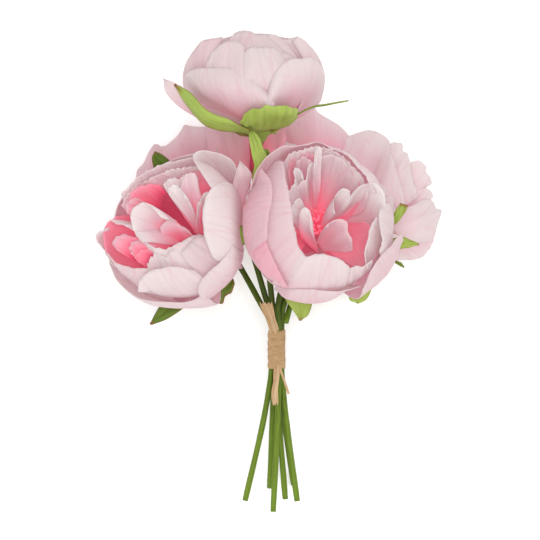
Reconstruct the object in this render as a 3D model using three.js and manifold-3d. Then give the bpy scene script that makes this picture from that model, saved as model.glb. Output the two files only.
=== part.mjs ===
// A tied bunch of six double peonies, laid down on a table.
// Millimetres. +Z is up, +Y runs along the bunch from the cut stem ends to the top bloom.
// The origin is on the table, under the middle of the bunch's bounding box.
import * as THREE from 'three';
import { mergeVertices } from 'three/addons/utils/BufferGeometryUtils.js';
import Module from 'manifold-3d';

const wasm = await Module();
wasm.setup();
const { Vector3, Matrix4, Quaternion } = THREE;
const radians = THREE.MathUtils.degToRad;
const Z_AXIS = new Vector3(0, 0, 1);

// The bunch frame: its origin is the middle of the binding, +Y runs up the stems to the blooms
// and +Z is the side that is shown. The bunch lies on its back blooms and on its stem ends.
const LIE_TILT = 15; // degrees between the stems and the table
const LIE_HEIGHT = 41.5; // from the table to the middle of the binding
const TABLE = { side: 600, depth: 60 }; // the block that trims what would sink into the table

// Blades and gaps
const PETAL_THICKNESS = 0.9;
const SEPAL_THICKNESS = 0.9;
const TOUCH_GAP = 0.35; // between pieces that touch
const TABLE_CLEAR = 0.15; // from the table to the middle of a blade that is pressed on it
const WELD = 0.001; // corners nearer than this are one
const SEPAL_SPACE = 0.9; // cut from the petals all round a sepal that runs through them

// How deep a petal gives where a neighbouring bloom presses on it, and where the table does
const NEIGHBOUR_GIVE = 9;
const TABLE_GIVE = 1.2;

// How a blade's outline and folds run, as shares of its width or length
const LINE_STEPS = 32; // stations along a blade's middle line
const TILT_EASE = 0.9; // below 1, the middle line bends most near the foot
const CORNER_POWER = 2.4; // how tightly the corners of the rim turn
const NOTCH_WIDTH = 0.2;
const RUFFLE_START = 0.4;
const ROLL_START = 0.75;
const TUCK_FOOT = -0.05;
const TUCK_FULL = 0.3;

// How far the middle of a petal, and of a sepal outside it, stays from the plane between two blooms
const PETAL_CLEAR = 2.2;
const SEPAL_CLEAR = 0.7;

// A bloom's frame has its origin at its base and +Z the way that the bloom opens.
const BALL_RISE = 31; // from the base to the middle of the ball
const BALL_RADIUS = 45;
const BALL_HALF_HEIGHT = 33;
const RECEPTACLE_RADIUS = 11; // the dome that the petals grow from
const RECEPTACLE_HEIGHT = 8;
const DOME_SIDES = 8;
const DOME_STEPS = 3;

// The calyx under a bloom's base: a cup with five sepals
const CUP = [[0, -9], [2.4, -9], [7, -3.4], [7, -2], [0, -2]]; // radius and height of its profile
const CUP_BOTTOM = CUP[0][1];
const CUP_RIM = 2; // the first of the corners that rise when the cup is thickened
const SEPAL = { length: 48, half: 11, start: -12, root: 3, rise: -4, wrap: 0.8, tuck: 0.7,
  round: 0.66, notch: 0, ruffle: 1, roll: -1, widest: 0.62, foot: 0.24, reach: 1, across: 2, along: 3 };
const SEPAL_WAVES = { least: 4, range: 1 }; // radians of ruffle over half a width

// Stamens: three-sided filaments on a disc, spread like seeds in a head
const STAMEN_COUNT = 7;
const STAMEN_SIDES = 3;
const STAMEN_HEIGHT = { least: 11.25, range: 5.25 };
const STAMEN_LEAN = 0.28; // radians, of the outermost
const STAMEN_FOOT = 0.95;
const STAMEN_TIP = 0.55;
const STAMEN_DISC = { radius: 3.4, height: 1.6, sides: 6, spread: 2.6 };
const STAMEN_ROOM = { foot: 4, rim: 8.6, height: 18 }; // the space kept round them
const GOLDEN_ANGLE = 2.39996;
const STAMEN_SEED = 900;
const SEPAL_SEED = 500;

// Stems and binding
const STEM_RADIUS = 1.5;
const STEM_SIDES = 6;
const STEM_STEPS = 13;
const SLOT_PITCH = 3.35; // between neighbouring stems in the binding
const STEM_NECK = 8; // straight under the calyx
const STEM_STRAIGHT = 3; // straight past each end of the binding
const SPREAD_BELOW = 0.35; // how far down a stem its bow sits, and how deep the bow is
const BOW_BELOW = 0.08;
const SPUR = [[12.6, 39, -4.6], [9.2, 29, -3.6], [5.6, 16, 0.6]]; // a side shoot that is cut off short
const BINDING_LENGTH = 23;
const BINDING_TURNS = 5;
const BINDING_SIDES = 10;
const BINDING_CLEAR = 0.35;
const RAFFIA_THICKNESS = 0.9;
const TURN_BULGE = 0.5;
const TURN_EDGE = 0.08; // the groove between turns, as a share of a turn

// Loose ends of the raffia, in the bunch frame: the broad start, the crumpled tail and a split strand
const RAFFIA_ENDS = [
  { points: [[-1.4, 9, 6.2], [-1.6, 12.5, 6.4], [-3.7, 19, 7.4], [-6.5, 28, 7.6]], width: 6.4, twist: 0.35,
    cells: 3 },
  { points: [[0.3, -9, 6.2], [0.2, -12.5, 6.5], [-0.2, -19, 7.3], [-1.2, -26, 7.6], [-1, -33, 8.2]],
    width: 3.4, twist: 0.5, cells: 5 },
  { points: [[1.9, -9, 6.2], [2.4, -12, 6.5], [4.6, -18.5, 7.1], [7.3, -26.7, 8.2]], width: 1.4,
    twist: -0.4, cells: 3 },
];

// Rings of petals, from the outside in. A petal's middle line starts at root from the bloom's axis, rise
// above its base, and climbs from the tilt start to the tilt end over its length. half is half its width.
// tuck sets one edge in and the other out, so that a petal lies over one neighbour and under the other.
// round takes the corners off its rim, notch cuts the rim in the middle, ruffle waves it, roll curls it
// and uneven varies the lengths round the ring.
const GUARD = { count: 5, length: 84, half: 33, start: -3, end: 116, root: 7, rise: 0.4, wrap: 1, tuck: 2.3,
  round: 0.34, notch: 0, ruffle: 0.8, roll: -1, uneven: 0.05, across: 3, along: 4 };
const SECOND = { count: 5, length: 80, half: 30, start: 7, end: 128, root: 6, rise: 2.6, wrap: 1, tuck: 2.2,
  round: 0.34, notch: 0.05, ruffle: 0.9, roll: 1, uneven: 0.05, across: 2, along: 3 };
const THIRD = { count: 4, length: 66, half: 25, start: 24, end: 124, root: 6, rise: 4, wrap: 1, tuck: 2,
  round: 0.36, notch: 0.1, ruffle: 1, roll: 0, uneven: 0.08, across: 2, along: 3 };
const INNER = { count: 4, length: 54, half: 16, start: 42, end: 110, root: 5.5, rise: 4, wrap: 0.8, tuck: 1.5,
  round: 0.3, notch: 0.2, ruffle: 2, roll: -2, uneven: 0.16, across: 2, along: 2 };
const HEART = { count: 3, length: 38, half: 10, start: 60, end: 96, root: 5, rise: 4, wrap: 0.6, tuck: 1,
  round: 0.3, notch: 0.22, ruffle: 1, roll: -2, uneven: 0.2, across: 2, along: 2 };
const CLOSING = { count: 4, length: 72, half: 22, start: 26, end: 142, root: 5.5, rise: 4, wrap: 1, tuck: 2,
  round: 0.36, notch: 0.08, ruffle: 1.2, roll: 0, uneven: 0.08, across: 2, along: 3 };
const FULL = [GUARD, SECOND, THIRD, INNER, HEART];
const PLAIN = [GUARD, SECOND, INNER];
const CLOSED = [GUARD, SECOND, CLOSING];
const RING_TURN = 37; // degrees from one ring to the next
const PETAL_WIDEST = 0.7; // where along its length a petal reaches its full width
const PETAL_FOOT = 0.14; // width of its foot, as a share of its full width
const PETAL_WAVES = { least: 2.5, range: 2 }; // radians of ruffle over half a width

// How far a petal's place, width and end tilt stray from the ring's
const PLACE_VARIES = 0.06; // of the step from petal to petal
const WIDTH_VARIES = 0.04;
const TILT_VARIES = 1.5; // degrees

// The six blooms in the bunch frame. centre is the middle of the ball, facing the way that it opens,
// spin its turn about that, and open how far its rings lean in. sepals are the way that each points,
// the tilt that it ends at and its length as a share of SEPAL's. slot is the stem's place in the
// binding, above where it passes over the binding, and stemEnd its cut end.
const BLOOMS = [
  { name: 'top', centre: [-13, 162, 12], facing: [-0.08, 0.99, 0.06], spin: 20, size: 0.93, open: 14,
    seed: 11, rings: CLOSED, slot: [0, 0], above: [-2.8, 30, -0.5],
    stemEnd: [5.4, -91, -1],
    sepals: [[[-1, 0, 0.25], 66, 1.25], [[0.5, 0, 0.9], 62, 1], [[1, 0, 0.1], 24, 1.12],
      [[0.5, 0, -0.9], 60, 1], [[-0.6, 0, -0.8], 60, 1]] },
  { name: 'left_front', centre: [-55, 71, 24], facing: [-0.52, 0.2, 0.83], spin: 10, size: 1.0, open: -4,
    seed: 23, rings: FULL, slot: [-1, 0], above: [-9.8, 28, -1],
    stemEnd: [-19, -92, -4],
    sepals: [[[-0.57, 0.82, 0], 40, 1.2], [[-0.55, -0.85, 0], 34, 1.2], [[0.1, -1, 0], 50, 1],
      [[1, 0.1, 0], 62, 0.9], [[0.7, 0.7, 0], 62, 0.9]] },
  { name: 'right_front', centre: [23, 75, 42], facing: [0.23, 0.27, 0.93], spin: 40, size: 1.02, open: -2,
    seed: 37, rings: FULL, slot: [0.5, 0.87], above: [0.8, 26, 3.6],
    stemEnd: [-2, -98, 10],
    sepals: [[[0, -1, 0], 40, 1.15], [[0.75, -0.66, 0], 44, 1.1], [[-1, -0.2, 0], 62, 0.9],
      [[-0.45, 0.9, 0], 46, 1.2], [[0.9, 0.5, 0], 62, 1]] },
  { name: 'right_back', centre: [60, 92, -25.5], facing: [0.74, 0.5, -0.3], spin: 5, size: 0.88, open: 2,
    seed: 41, rings: PLAIN, slot: [1, 0], above: [4.6, 27, 1], spur: true,
    stemEnd: [12.6, -92, 4],
    sepals: [[[0, 0.3, 1], 62, 1], [[0.4, -0.4, 0.8], 62, 1], [[0.3, -1, -0.3], 56, 1], [[0, 0, -1], 62, 1],
      [[-0.5, 1, 0], 62, 1]] },
  { name: 'left_back', centre: [-50, 108, -29.5], facing: [-0.62, 0.62, -0.48], spin: 30, size: 0.86, open: 2,
    seed: 53, rings: PLAIN, slot: [-0.5, -0.87], above: [-6.2, 30, -4.6],
    stemEnd: [-4, -85, -18.8],
    sepals: [[[0, 0, 1], 62, 1], [[-1, -0.6, 0], 62, 1], [[0.3, 0, -1], 62, 1], [[0.6, 1, 0.2], 62, 1],
      [[-0.6, -0.9, -0.6], 60, 1]] },
  { name: 'middle_back', centre: [16, 116, -32.5], facing: [0.35, 0.75, -0.56], spin: 0, size: 0.86, open: 2,
    seed: 67, rings: PLAIN, slot: [0.5, -0.87], above: [3.4, 30, -4.4],
    stemEnd: [10.5, -83, -19.4],
    sepals: [[[-0.7, 0, 0.8], 44, 1], [[0.5, 0, 1], 62, 1], [[1, -0.2, -0.2], 62, 1], [[0.2, 0, -1], 62, 1],
      [[-1, 0, -0.4], 62, 1]] },
];

const petalPink = { color: 0xf3d3d8, roughness: 0.8, metalness: 0 };
const sepalGreen = { color: 0x9bbb4e, roughness: 0.75, metalness: 0 };
const stemGreen = { color: 0x55762c, roughness: 0.55, metalness: 0 };
const stamenPink = { color: 0xe8305f, roughness: 0.7, metalness: 0 };
const raffiaTan = { color: 0xc9a176, roughness: 0.85, metalness: 0 };

// A repeatable stream of numbers from 0 to 1.
function stream(seed) {
  let state = seed >>> 0;
  return () => {
    state = (Math.imul(state, 1664525) + 1013904223) >>> 0;
    return state / 2 ** 32;
  };
}

const smooth = (low, high, x) => THREE.MathUtils.smoothstep(x, low, high);

// Stations along a petal's middle line: distance from the axis, height and tilt.
function middleLine({ length, start, end, root, rise }) {
  const stations = [];
  let radius = root;
  let height = rise;
  for (let i = 0; i <= LINE_STEPS; i += 1) {
    const tilt = radians(start + (end - start) * (i / LINE_STEPS) ** TILT_EASE);
    stations.push({ radius, height, tilt });
    radius += (Math.cos(tilt) * length) / LINE_STEPS;
    height += (Math.sin(tilt) * length) / LINE_STEPS;
  }
  return stations;
}

function stationAt(line, reach) {
  const place = reach * LINE_STEPS;
  const near = line[Math.floor(place)];
  const far = line[Math.min(LINE_STEPS, Math.floor(place) + 1)];
  const share = place - Math.floor(place);
  const between = (key) => near[key] + (far[key] - near[key]) * share;
  return { radius: between('radius'), height: between('height'), tilt: between('tilt') };
}

// The surface of a petal: across runs from -1 to 1 over its width, along from 0 at its foot to 1 at its rim.
// It bends across its width round an upright axis: the bloom's own where wrap is 1, and one further from
// the petal where wrap is less.
function petalSurface(petal) {
  const line = middleLine(petal);
  return (across, along) => {
    const corners = petal.round * Math.abs(across) ** CORNER_POWER;
    const notch = petal.notch * Math.exp(-((across / NOTCH_WIDTH) ** 2));
    const reach = THREE.MathUtils.clamp(along * (1 - corners - notch), 0, 1) * petal.reach;
    const { radius, height, tilt } = stationAt(line, reach);
    const widening = Math.sin(Math.min(1, reach / petal.widest) * Math.PI / 2);
    const offset = petal.half * (petal.foot + (1 - petal.foot) * widening) * across;
    const wave = petal.ruffle * Math.sin(petal.waves * across + petal.phase) * smooth(RUFFLE_START, 1, along);
    const curl = petal.roll * smooth(ROLL_START, 1, along);
    const tucked = petal.tuck * (1 + across) * smooth(TUCK_FOOT, TUCK_FULL, reach);
    const inward = tucked + wave + curl;
    const bend = radius / petal.wrap;
    const swing = offset / bend;
    const out = bend * Math.cos(swing) - Math.sin(tilt) * inward * Math.cos(swing) + radius - bend;
    const side = bend * Math.sin(swing) - Math.sin(tilt) * inward * Math.sin(swing);
    return new Vector3(out, side, height + Math.cos(tilt) * inward)
      .applyAxisAngle(Z_AXIS, petal.azimuth);
  };
}

// One ring's petals, each with its own small differences.
function ringOfPetals(ring, bloom, level, random) {
  const petals = [];
  const turn = radians(bloom.spin + level * RING_TURN);
  for (let i = 0; i < ring.count; i += 1) {
    const vary = (amount) => (random() - 0.5) * 2 * amount;
    petals.push({
      ...ring,
      azimuth: turn + ((i + vary(PLACE_VARIES)) * Math.PI * 2) / ring.count,
      length: ring.length * bloom.size,
      reach: 1 - ring.uneven * (1 + vary(1)),
      half: ring.half * bloom.size * (1 + vary(WIDTH_VARIES)),
      end: ring.end + bloom.open + vary(TILT_VARIES),
      phase: random() * Math.PI * 2,
      waves: PETAL_WAVES.least + random() * PETAL_WAVES.range,
      widest: PETAL_WIDEST,
      foot: PETAL_FOOT,
    });
  }
  return petals;
}

// Moves a point back inside planes, softly, so that what lay outside still lies outside.
function pressed(point, planes) {
  for (const { normal, limit, give } of planes) {
    const depth = point.dot(normal) - (limit - give);
    if (depth > 0) point.addScaledVector(normal, give * (1 - Math.exp(-depth / give)) - depth);
  }
  return point;
}

// A closed blade of even thickness over a surface, its two faces split alike.
function blade(surface, acrossCells, alongCells, thickness, planes) {
  const rows = alongCells + 1;
  const columns = acrossCells + 1;
  const at = (row, column) => row * columns + column;
  const middle = [];
  for (let row = 0; row < rows; row += 1) {
    for (let column = 0; column < columns; column += 1) {
      middle.push(pressed(surface((2 * column) / acrossCells - 1, row / alongCells), planes));
    }
  }
  const front = [];
  const back = [];
  for (let row = 0; row < rows; row += 1) {
    for (let column = 0; column < columns; column += 1) {
      const right = middle[at(row, Math.min(column + 1, columns - 1))];
      const left = middle[at(row, Math.max(column - 1, 0))];
      const above = middle[at(Math.min(row + 1, rows - 1), column)];
      const below = middle[at(Math.max(row - 1, 0), column)];
      const normal = right.clone().sub(left).cross(above.clone().sub(below)).normalize();
      front.push(middle[at(row, column)].clone().addScaledVector(normal, thickness / 2));
      back.push(middle[at(row, column)].clone().addScaledVector(normal, -thickness / 2));
    }
  }
  const faces = [];
  const far = rows * columns;
  for (let row = 0; row + 1 < rows; row += 1) {
    for (let column = 0; column + 1 < columns; column += 1) {
      const [a, b] = [at(row, column), at(row, column + 1)];
      const [d, c] = [at(row + 1, column), at(row + 1, column + 1)];
      faces.push(a, b, c, a, c, d);
      faces.push(far + a, far + c, far + b, far + a, far + d, far + c);
    }
  }
  const wall = (a, b) => faces.push(a, far + a, far + b, a, far + b, b);
  for (let column = 0; column + 1 < columns; column += 1) {
    wall(at(0, column), at(0, column + 1));
    wall(at(rows - 1, column + 1), at(rows - 1, column));
  }
  for (let row = 0; row + 1 < rows; row += 1) {
    wall(at(row + 1, 0), at(row, 0));
    wall(at(row, columns - 1), at(row + 1, columns - 1));
  }
  const geometry = new THREE.BufferGeometry().setFromPoints([...front, ...back]);
  geometry.setIndex(faces);
  return geometry;
}

// three.js geometry to a manifold-3d solid and back
function toSolid(geometry) {
  const bare = geometry.clone();
  for (const name of Object.keys(bare.attributes)) {
    if (name !== 'position') bare.deleteAttribute(name);
  }
  const merged = mergeVertices(bare, WELD);
  return new wasm.Manifold(new wasm.Mesh({
    numProp: 3,
    vertProperties: new Float32Array(merged.attributes.position.array),
    triVerts: new Uint32Array(merged.index.array),
  }));
}

function toGeometry(solid) {
  const mesh = solid.getMesh();
  const geometry = new THREE.BufferGeometry();
  geometry.setAttribute('position', new THREE.BufferAttribute(mesh.vertProperties, 3));
  geometry.setIndex(new THREE.BufferAttribute(mesh.triVerts, 1));
  const flat = geometry.toNonIndexed();
  flat.computeVertexNormals();
  return flat;
}

// Solids joined to one body: loose scraps go, and sealed hollows are filled.
function joined(solids) {
  const whole = solids.reduce((sum, next) => sum.add(next));
  const bodies = whole.decompose().sort((a, b) => b.volume() - a.volume());
  return bodies[0];
}

function namedMesh(name, geometry, material) {
  const mesh = new THREE.Mesh(geometry, new THREE.MeshStandardMaterial(material));
  mesh.name = name;
  return mesh;
}

// Placing of the bunch on the table and of each bloom in the bunch
const bunchMatrix = new Matrix4().makeRotationX(radians(LIE_TILT)).setPosition(0, 0, LIE_HEIGHT);

function bloomMatrix(bloom) {
  const facing = new Vector3(...bloom.facing).normalize();
  const turn = new Quaternion().setFromUnitVectors(new Vector3(0, 0, 1), facing);
  const base = new Vector3(...bloom.centre).addScaledVector(facing, -BALL_RISE * bloom.size);
  return new Matrix4().compose(base, turn, new Vector3(1, 1, 1));
}

// How far a bloom's ball reaches from its centre in one direction.
function ballReach(bloom, direction) {
  const along = new Vector3(...bloom.facing).normalize().dot(direction);
  const radius = BALL_RADIUS * bloom.size;
  const halfHeight = BALL_HALF_HEIGHT * bloom.size;
  return Math.sqrt(radius ** 2 * (1 - along ** 2) + halfHeight ** 2 * along ** 2);
}

// The planes that a bloom stays behind: one to each neighbour and the table, in the bunch frame.
// clear is how far its surfaces stay from the plane between two blooms.
function pressingPlanes(bloom, clear) {
  const centre = new Vector3(...bloom.centre);
  const planes = BLOOMS.filter((other) => other !== bloom).map((other) => {
    const normal = new Vector3(...other.centre).sub(centre);
    const distance = normal.length();
    normal.normalize();
    const mine = ballReach(bloom, normal);
    const theirs = ballReach(other, normal);
    const share = (distance * mine) / (mine + theirs);
    return { normal, give: NEIGHBOUR_GIVE, limit: centre.dot(normal) + share - clear };
  });
  const down = new Vector3(0, -Math.sin(radians(LIE_TILT)), -Math.cos(radians(LIE_TILT)));
  planes.push({ normal: down, give: TABLE_GIVE, limit: LIE_HEIGHT - TABLE_CLEAR });
  return planes;
}

function intoFrame(planes, matrix) {
  const origin = new Vector3().setFromMatrixPosition(matrix);
  const inverse = matrix.clone().invert();
  return planes.map(({ normal, give, limit }) => ({
    give,
    normal: normal.clone().transformDirection(inverse),
    limit: limit - normal.dot(origin),
  }));
}

// The table's top as a block under the bunch, in the frame of a matrix.
function tableBlock(matrix) {
  const { side, depth } = TABLE;
  const block = new THREE.BoxGeometry(side, side, depth).translate(0, 0, -depth / 2);
  block.applyMatrix4(bunchMatrix.clone().multiply(matrix).invert());
  return toSolid(block);
}

const profileOf = (pairs) => pairs.map(([radius, height]) => new THREE.Vector2(radius, height));
const turned = (profile, sides) => new THREE.LatheGeometry(profile, sides).rotateX(Math.PI / 2);

// A flat-bottomed dome: the receptacle that the petals grow from.
function receptacle(size) {
  const profile = [[0, 0]];
  for (let i = 0; i <= DOME_STEPS; i += 1) {
    const angle = (Math.PI / 2) * (i / DOME_STEPS);
    const radius = i < DOME_STEPS ? RECEPTACLE_RADIUS * size * Math.cos(angle) : 0;
    profile.push([radius, RECEPTACLE_HEIGHT * size * Math.sin(angle)]);
  }
  return turned(profileOf(profile), DOME_SIDES);
}

function petalsOf(bloom, planes) {
  const random = stream(bloom.seed);
  const solids = [toSolid(receptacle(bloom.size))];
  bloom.rings.forEach((ring, level) => {
    for (const petal of ringOfPetals(ring, bloom, level, random)) {
      solids.push(toSolid(blade(petalSurface(petal), ring.across, ring.along, PETAL_THICKNESS, planes)));
    }
  });
  return joined(solids);
}

// The calyx: a cup that the stem ends in, with its sepals. swell thickens it all round.
function calyxOf(bloom, matrix, planes, swell = 0) {
  const random = stream(bloom.seed + SEPAL_SEED);
  const inverse = matrix.clone().invert();
  const profile = CUP.map(([radius, height], i) => {
    const raised = i < CUP_RIM ? height : height + swell;
    return [radius && radius + swell, raised];
  });
  const solids = [toSolid(turned(profileOf(profile), DOME_SIDES))];
  for (const [toward, end, share] of bloom.sepals) {
    const local = new Vector3(...toward).transformDirection(inverse);
    const sepal = { ...SEPAL, end, azimuth: Math.atan2(local.y, local.x) };
    sepal.length *= bloom.size * share;
    sepal.half += swell;
    sepal.phase = random() * Math.PI * 2;
    sepal.waves = SEPAL_WAVES.least + random() * SEPAL_WAVES.range;
    const thickness = SEPAL_THICKNESS + 2 * swell;
    solids.push(toSolid(blade(petalSurface(sepal), SEPAL.across, SEPAL.along, thickness, planes)));
  }
  return joined(solids);
}

// The stamens: filaments on a small disc, which sits on the receptacle.
function stamensOf(bloom) {
  const random = stream(bloom.seed + STAMEN_SEED);
  const floor = RECEPTACLE_HEIGHT * bloom.size + TOUCH_GAP;
  const { radius, height, sides, spread } = STAMEN_DISC;
  const disc = new THREE.CylinderGeometry(radius, radius, height, sides).rotateX(Math.PI / 2);
  const solids = [toSolid(disc.translate(0, 0, floor + height / 2))];
  for (let i = 0; i < STAMEN_COUNT; i += 1) {
    const out = Math.sqrt((i + 0.5) / STAMEN_COUNT);
    const tall = STAMEN_HEIGHT.least + STAMEN_HEIGHT.range * random();
    const filament = new THREE.CylinderGeometry(STAMEN_FOOT, STAMEN_TIP, tall, STAMEN_SIDES);
    filament.rotateX(Math.PI / 2).translate(0, 0, tall / 2).rotateY(out * STAMEN_LEAN);
    filament.translate(out * spread, 0, floor + height / 2).rotateZ(i * GOLDEN_ANGLE);
    solids.push(toSolid(filament));
  }
  return joined(solids);
}

// The space that the stamens fill, which is cut from the petals round it.
function stamenSpace(bloom) {
  const floor = RECEPTACLE_HEIGHT * bloom.size;
  const { foot, rim, height } = STAMEN_ROOM;
  const profile = [[0, floor], [foot, floor], [rim, floor + height], [0, floor + height]];
  return toSolid(turned(profileOf(profile), DOME_SIDES));
}

// A stem runs from its calyx through its slot in the binding to its cut end, in the bunch frame.
function stemPath(bloom) {
  const facing = new Vector3(...bloom.facing).normalize();
  const base = new Vector3(...bloom.centre).addScaledVector(facing, -BALL_RISE * bloom.size);
  const top = base.clone().addScaledVector(facing, CUP_BOTTOM - TOUCH_GAP);
  const neck = top.clone().addScaledVector(facing, -STEM_NECK);
  const [x, z] = bloom.slot.map((place) => place * SLOT_PITCH);
  const entry = BINDING_LENGTH / 2 + STEM_STRAIGHT;
  const above = new Vector3(...bloom.above);
  const leaving = new Vector3(x, -entry, z);
  const end = new Vector3(...bloom.stemEnd);
  const below = leaving.clone().lerp(end, SPREAD_BELOW);
  below.x += (x - end.x) * BOW_BELOW;
  below.z += (z - end.z) * BOW_BELOW;
  const bound = [new Vector3(x, entry, z), new Vector3(x, 0, z), leaving];
  const points = [top, neck, above, ...bound, below, end];
  return new THREE.CatmullRomCurve3(points, false, 'centripetal');
}

function polygon(radius, sides) {
  const corners = [];
  for (let i = 0; i < sides; i += 1) {
    const angle = (i * 2 * Math.PI) / sides;
    corners.push(new THREE.Vector2(radius * Math.cos(angle), radius * Math.sin(angle)));
  }
  return new THREE.Shape(corners);
}

function rodAlong(extrudePath, steps) {
  const section = polygon(STEM_RADIUS, STEM_SIDES);
  return new THREE.ExtrudeGeometry(section, { steps, extrudePath, bevelEnabled: false });
}

// A stem, with the spur where it has one.
function stemOf(bloom) {
  const stem = toSolid(rodAlong(stemPath(bloom), STEM_STEPS));
  if (!bloom.spur) return joined([stem]);
  const spurPath = new THREE.CatmullRomCurve3(SPUR.map((place) => new Vector3(...place)));
  return joined([stem, toSolid(rodAlong(spurPath, SPUR.length))]);
}

// A strip of raffia along points, turned from front to side by twist radians on its way.
function raffiaStrip({ points, width, twist, cells }) {
  const curve = new THREE.CatmullRomCurve3(points.map((place) => new Vector3(...place)));
  const surface = (across, along) => {
    const half = (across * width) / 2;
    const turn = twist * along;
    return curve.getPoint(along).add(new Vector3(half * Math.cos(turn), 0, half * Math.sin(turn)));
  };
  return toSolid(blade(surface, 1, cells, RAFFIA_THICKNESS, []));
}

// The binding: turns of raffia round the stems, with the loose ends of the strip.
function bindingOf() {
  const inner = SLOT_PITCH + STEM_RADIUS + BINDING_CLEAR;
  const bottom = -BINDING_LENGTH / 2;
  const pitch = BINDING_LENGTH / BINDING_TURNS;
  const profile = [[inner, -bottom], [inner, bottom]];
  for (let i = 0; i < BINDING_TURNS; i += 1) {
    const low = bottom + i * pitch;
    profile.push([inner + RAFFIA_THICKNESS, low + TURN_EDGE * pitch]);
    profile.push([inner + RAFFIA_THICKNESS + TURN_BULGE, low + pitch / 2]);
    profile.push([inner + RAFFIA_THICKNESS, low + (1 - TURN_EDGE) * pitch]);
  }
  profile.push(profile[0]);
  const turns = toSolid(new THREE.LatheGeometry(profileOf(profile), BINDING_SIDES));
  return joined([turns, ...RAFFIA_ENDS.map(raffiaStrip)]);
}

const root = new THREE.Group();
const bunch = new THREE.Group();
bunch.rotation.x = radians(LIE_TILT);
bunch.position.z = LIE_HEIGHT;
root.add(bunch);

for (const bloom of BLOOMS) {
  const matrix = bloomMatrix(bloom);
  const planes = intoFrame(pressingPlanes(bloom, PETAL_CLEAR), matrix);
  const sepalPlanes = intoFrame(pressingPlanes(bloom, SEPAL_CLEAR), matrix);
  const table = tableBlock(matrix);
  const group = new THREE.Group();
  matrix.decompose(group.position, group.quaternion, group.scale);
  bunch.add(group);

  const calyx = calyxOf(bloom, matrix, sepalPlanes).subtract(table);
  const calyxSpace = calyxOf(bloom, matrix, sepalPlanes, SEPAL_SPACE);
  let petals = petalsOf(bloom, planes).subtract(table).subtract(calyxSpace).subtract(calyx);
  if (bloom.rings !== CLOSED) {
    petals = petals.subtract(stamenSpace(bloom));
    group.add(namedMesh(`stamens_${bloom.name}`, toGeometry(stamensOf(bloom)), stamenPink));
  }
  group.add(namedMesh(`petals_${bloom.name}`, toGeometry(joined([petals])), petalPink));
  group.add(namedMesh(`calyx_${bloom.name}`, toGeometry(joined([calyx])), sepalGreen));
  bunch.add(namedMesh(`stem_${bloom.name}`, toGeometry(stemOf(bloom)), stemGreen));
}
bunch.add(namedMesh('raffia_binding', toGeometry(bindingOf()), raffiaTan));

// Brings the middle of the bounding box over the origin.
root.updateMatrixWorld(true);
const bounds = new THREE.Box3().setFromObject(root, true);
bunch.position.x -= (bounds.min.x + bounds.max.x) / 2;
bunch.position.y -= (bounds.min.y + bounds.max.y) / 2;

export default root;
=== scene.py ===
"""A tied bunch of six silk peonies, laid down on a pale surface.

Shapes are worked out in millimetres in the bunch's own frame, in which +Y runs up the stems and
+Z is the side that is shown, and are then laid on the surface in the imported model's frame.
"""
import math

import bpy
import numpy as np
from mathutils import Matrix, Vector


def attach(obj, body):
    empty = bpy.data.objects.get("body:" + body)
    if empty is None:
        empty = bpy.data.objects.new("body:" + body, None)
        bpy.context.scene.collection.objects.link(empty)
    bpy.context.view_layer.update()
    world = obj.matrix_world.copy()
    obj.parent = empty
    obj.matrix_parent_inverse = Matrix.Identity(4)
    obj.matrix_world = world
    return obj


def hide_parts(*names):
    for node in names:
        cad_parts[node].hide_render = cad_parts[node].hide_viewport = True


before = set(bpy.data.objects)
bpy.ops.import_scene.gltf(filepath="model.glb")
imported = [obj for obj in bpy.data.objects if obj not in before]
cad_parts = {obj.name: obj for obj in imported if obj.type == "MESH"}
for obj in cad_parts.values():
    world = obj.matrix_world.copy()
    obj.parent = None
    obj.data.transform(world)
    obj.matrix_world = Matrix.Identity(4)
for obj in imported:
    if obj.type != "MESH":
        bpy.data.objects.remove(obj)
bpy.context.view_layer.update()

MM = 0.001

# How the bunch lies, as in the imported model
LIE_TILT = math.radians(15)
LIE_HEIGHT = 41.5

# Blooms, and the ball that each fills
BALL_RISE = 31  # from a bloom's base to its middle
BALL_RADIUS = 45
BALL_HALF_HEIGHT = 33
RECEPTACLE_RADIUS = 11
RECEPTACLE_HEIGHT = 8
PETAL_THICKNESS = 0.42
SEPAL_THICKNESS = 0.55
NEIGHBOUR_GIVE = 9
TABLE_GIVE = 1.2
PETAL_CLEAR = 2.2
SEPAL_CLEAR = 0.7
TABLE_SKIN = 0.3  # between the table and what is pressed on it
LINE_STEPS = 32
PETAL_CELLS = (26, 24)
SHOWN_CELLS = (34, 30)
SEPAL_CELLS = (14, 26)
SHOWN_SEPAL_CELLS = (44, 26)
DOME_TURNS, DOME_LEVELS = 20, 8
CUP = [(0.01, -9), (2.2, -9), (3.4, -7.4), (5.6, -4.6), (7, -3), (7.2, -2.2), (6.4, -1.4), (3, -1.2),
       (0.01, -1.2)]
CUP_BOTTOM = -9
CUP_TURNS = 24

# The hidden part of a measured sepal: where it starts under the bloom, half its width there, and its cells
WAY_DROP = 3
WAY_FOOT = 2.4
WAY_CELLS = (6, 20)

# Stems and binding
STEM_RADIUS = 1.8
STEM_PINCH = 0.12  # how much thinner in the binding
STEM_SIDES = 14
STEM_STEPS = 70
STEM_KNOBS = 0.03  # how much thicker and thinner along its way
STEM_NECK = 8
STEM_STRAIGHT = 3
SPUR_STEPS = 12
SPREAD_BELOW = 0.35
BOW_BELOW = 0.08
TOUCH_GAP = 0.35
SLOT_PITCH = 3.35
BINDING_LENGTH = 23
BINDING_TURNS = 5
BINDING_RADIUS = 4.85
BINDING_BULGE = 0.55
BINDING_HOLLOW = 0.82  # the inside's radius, as a share of the outside's
BINDING_CELLS = (96, 66)
RAFFIA_THICKNESS = 0.4
RAFFIA_CELLS = (18, 40)

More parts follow.
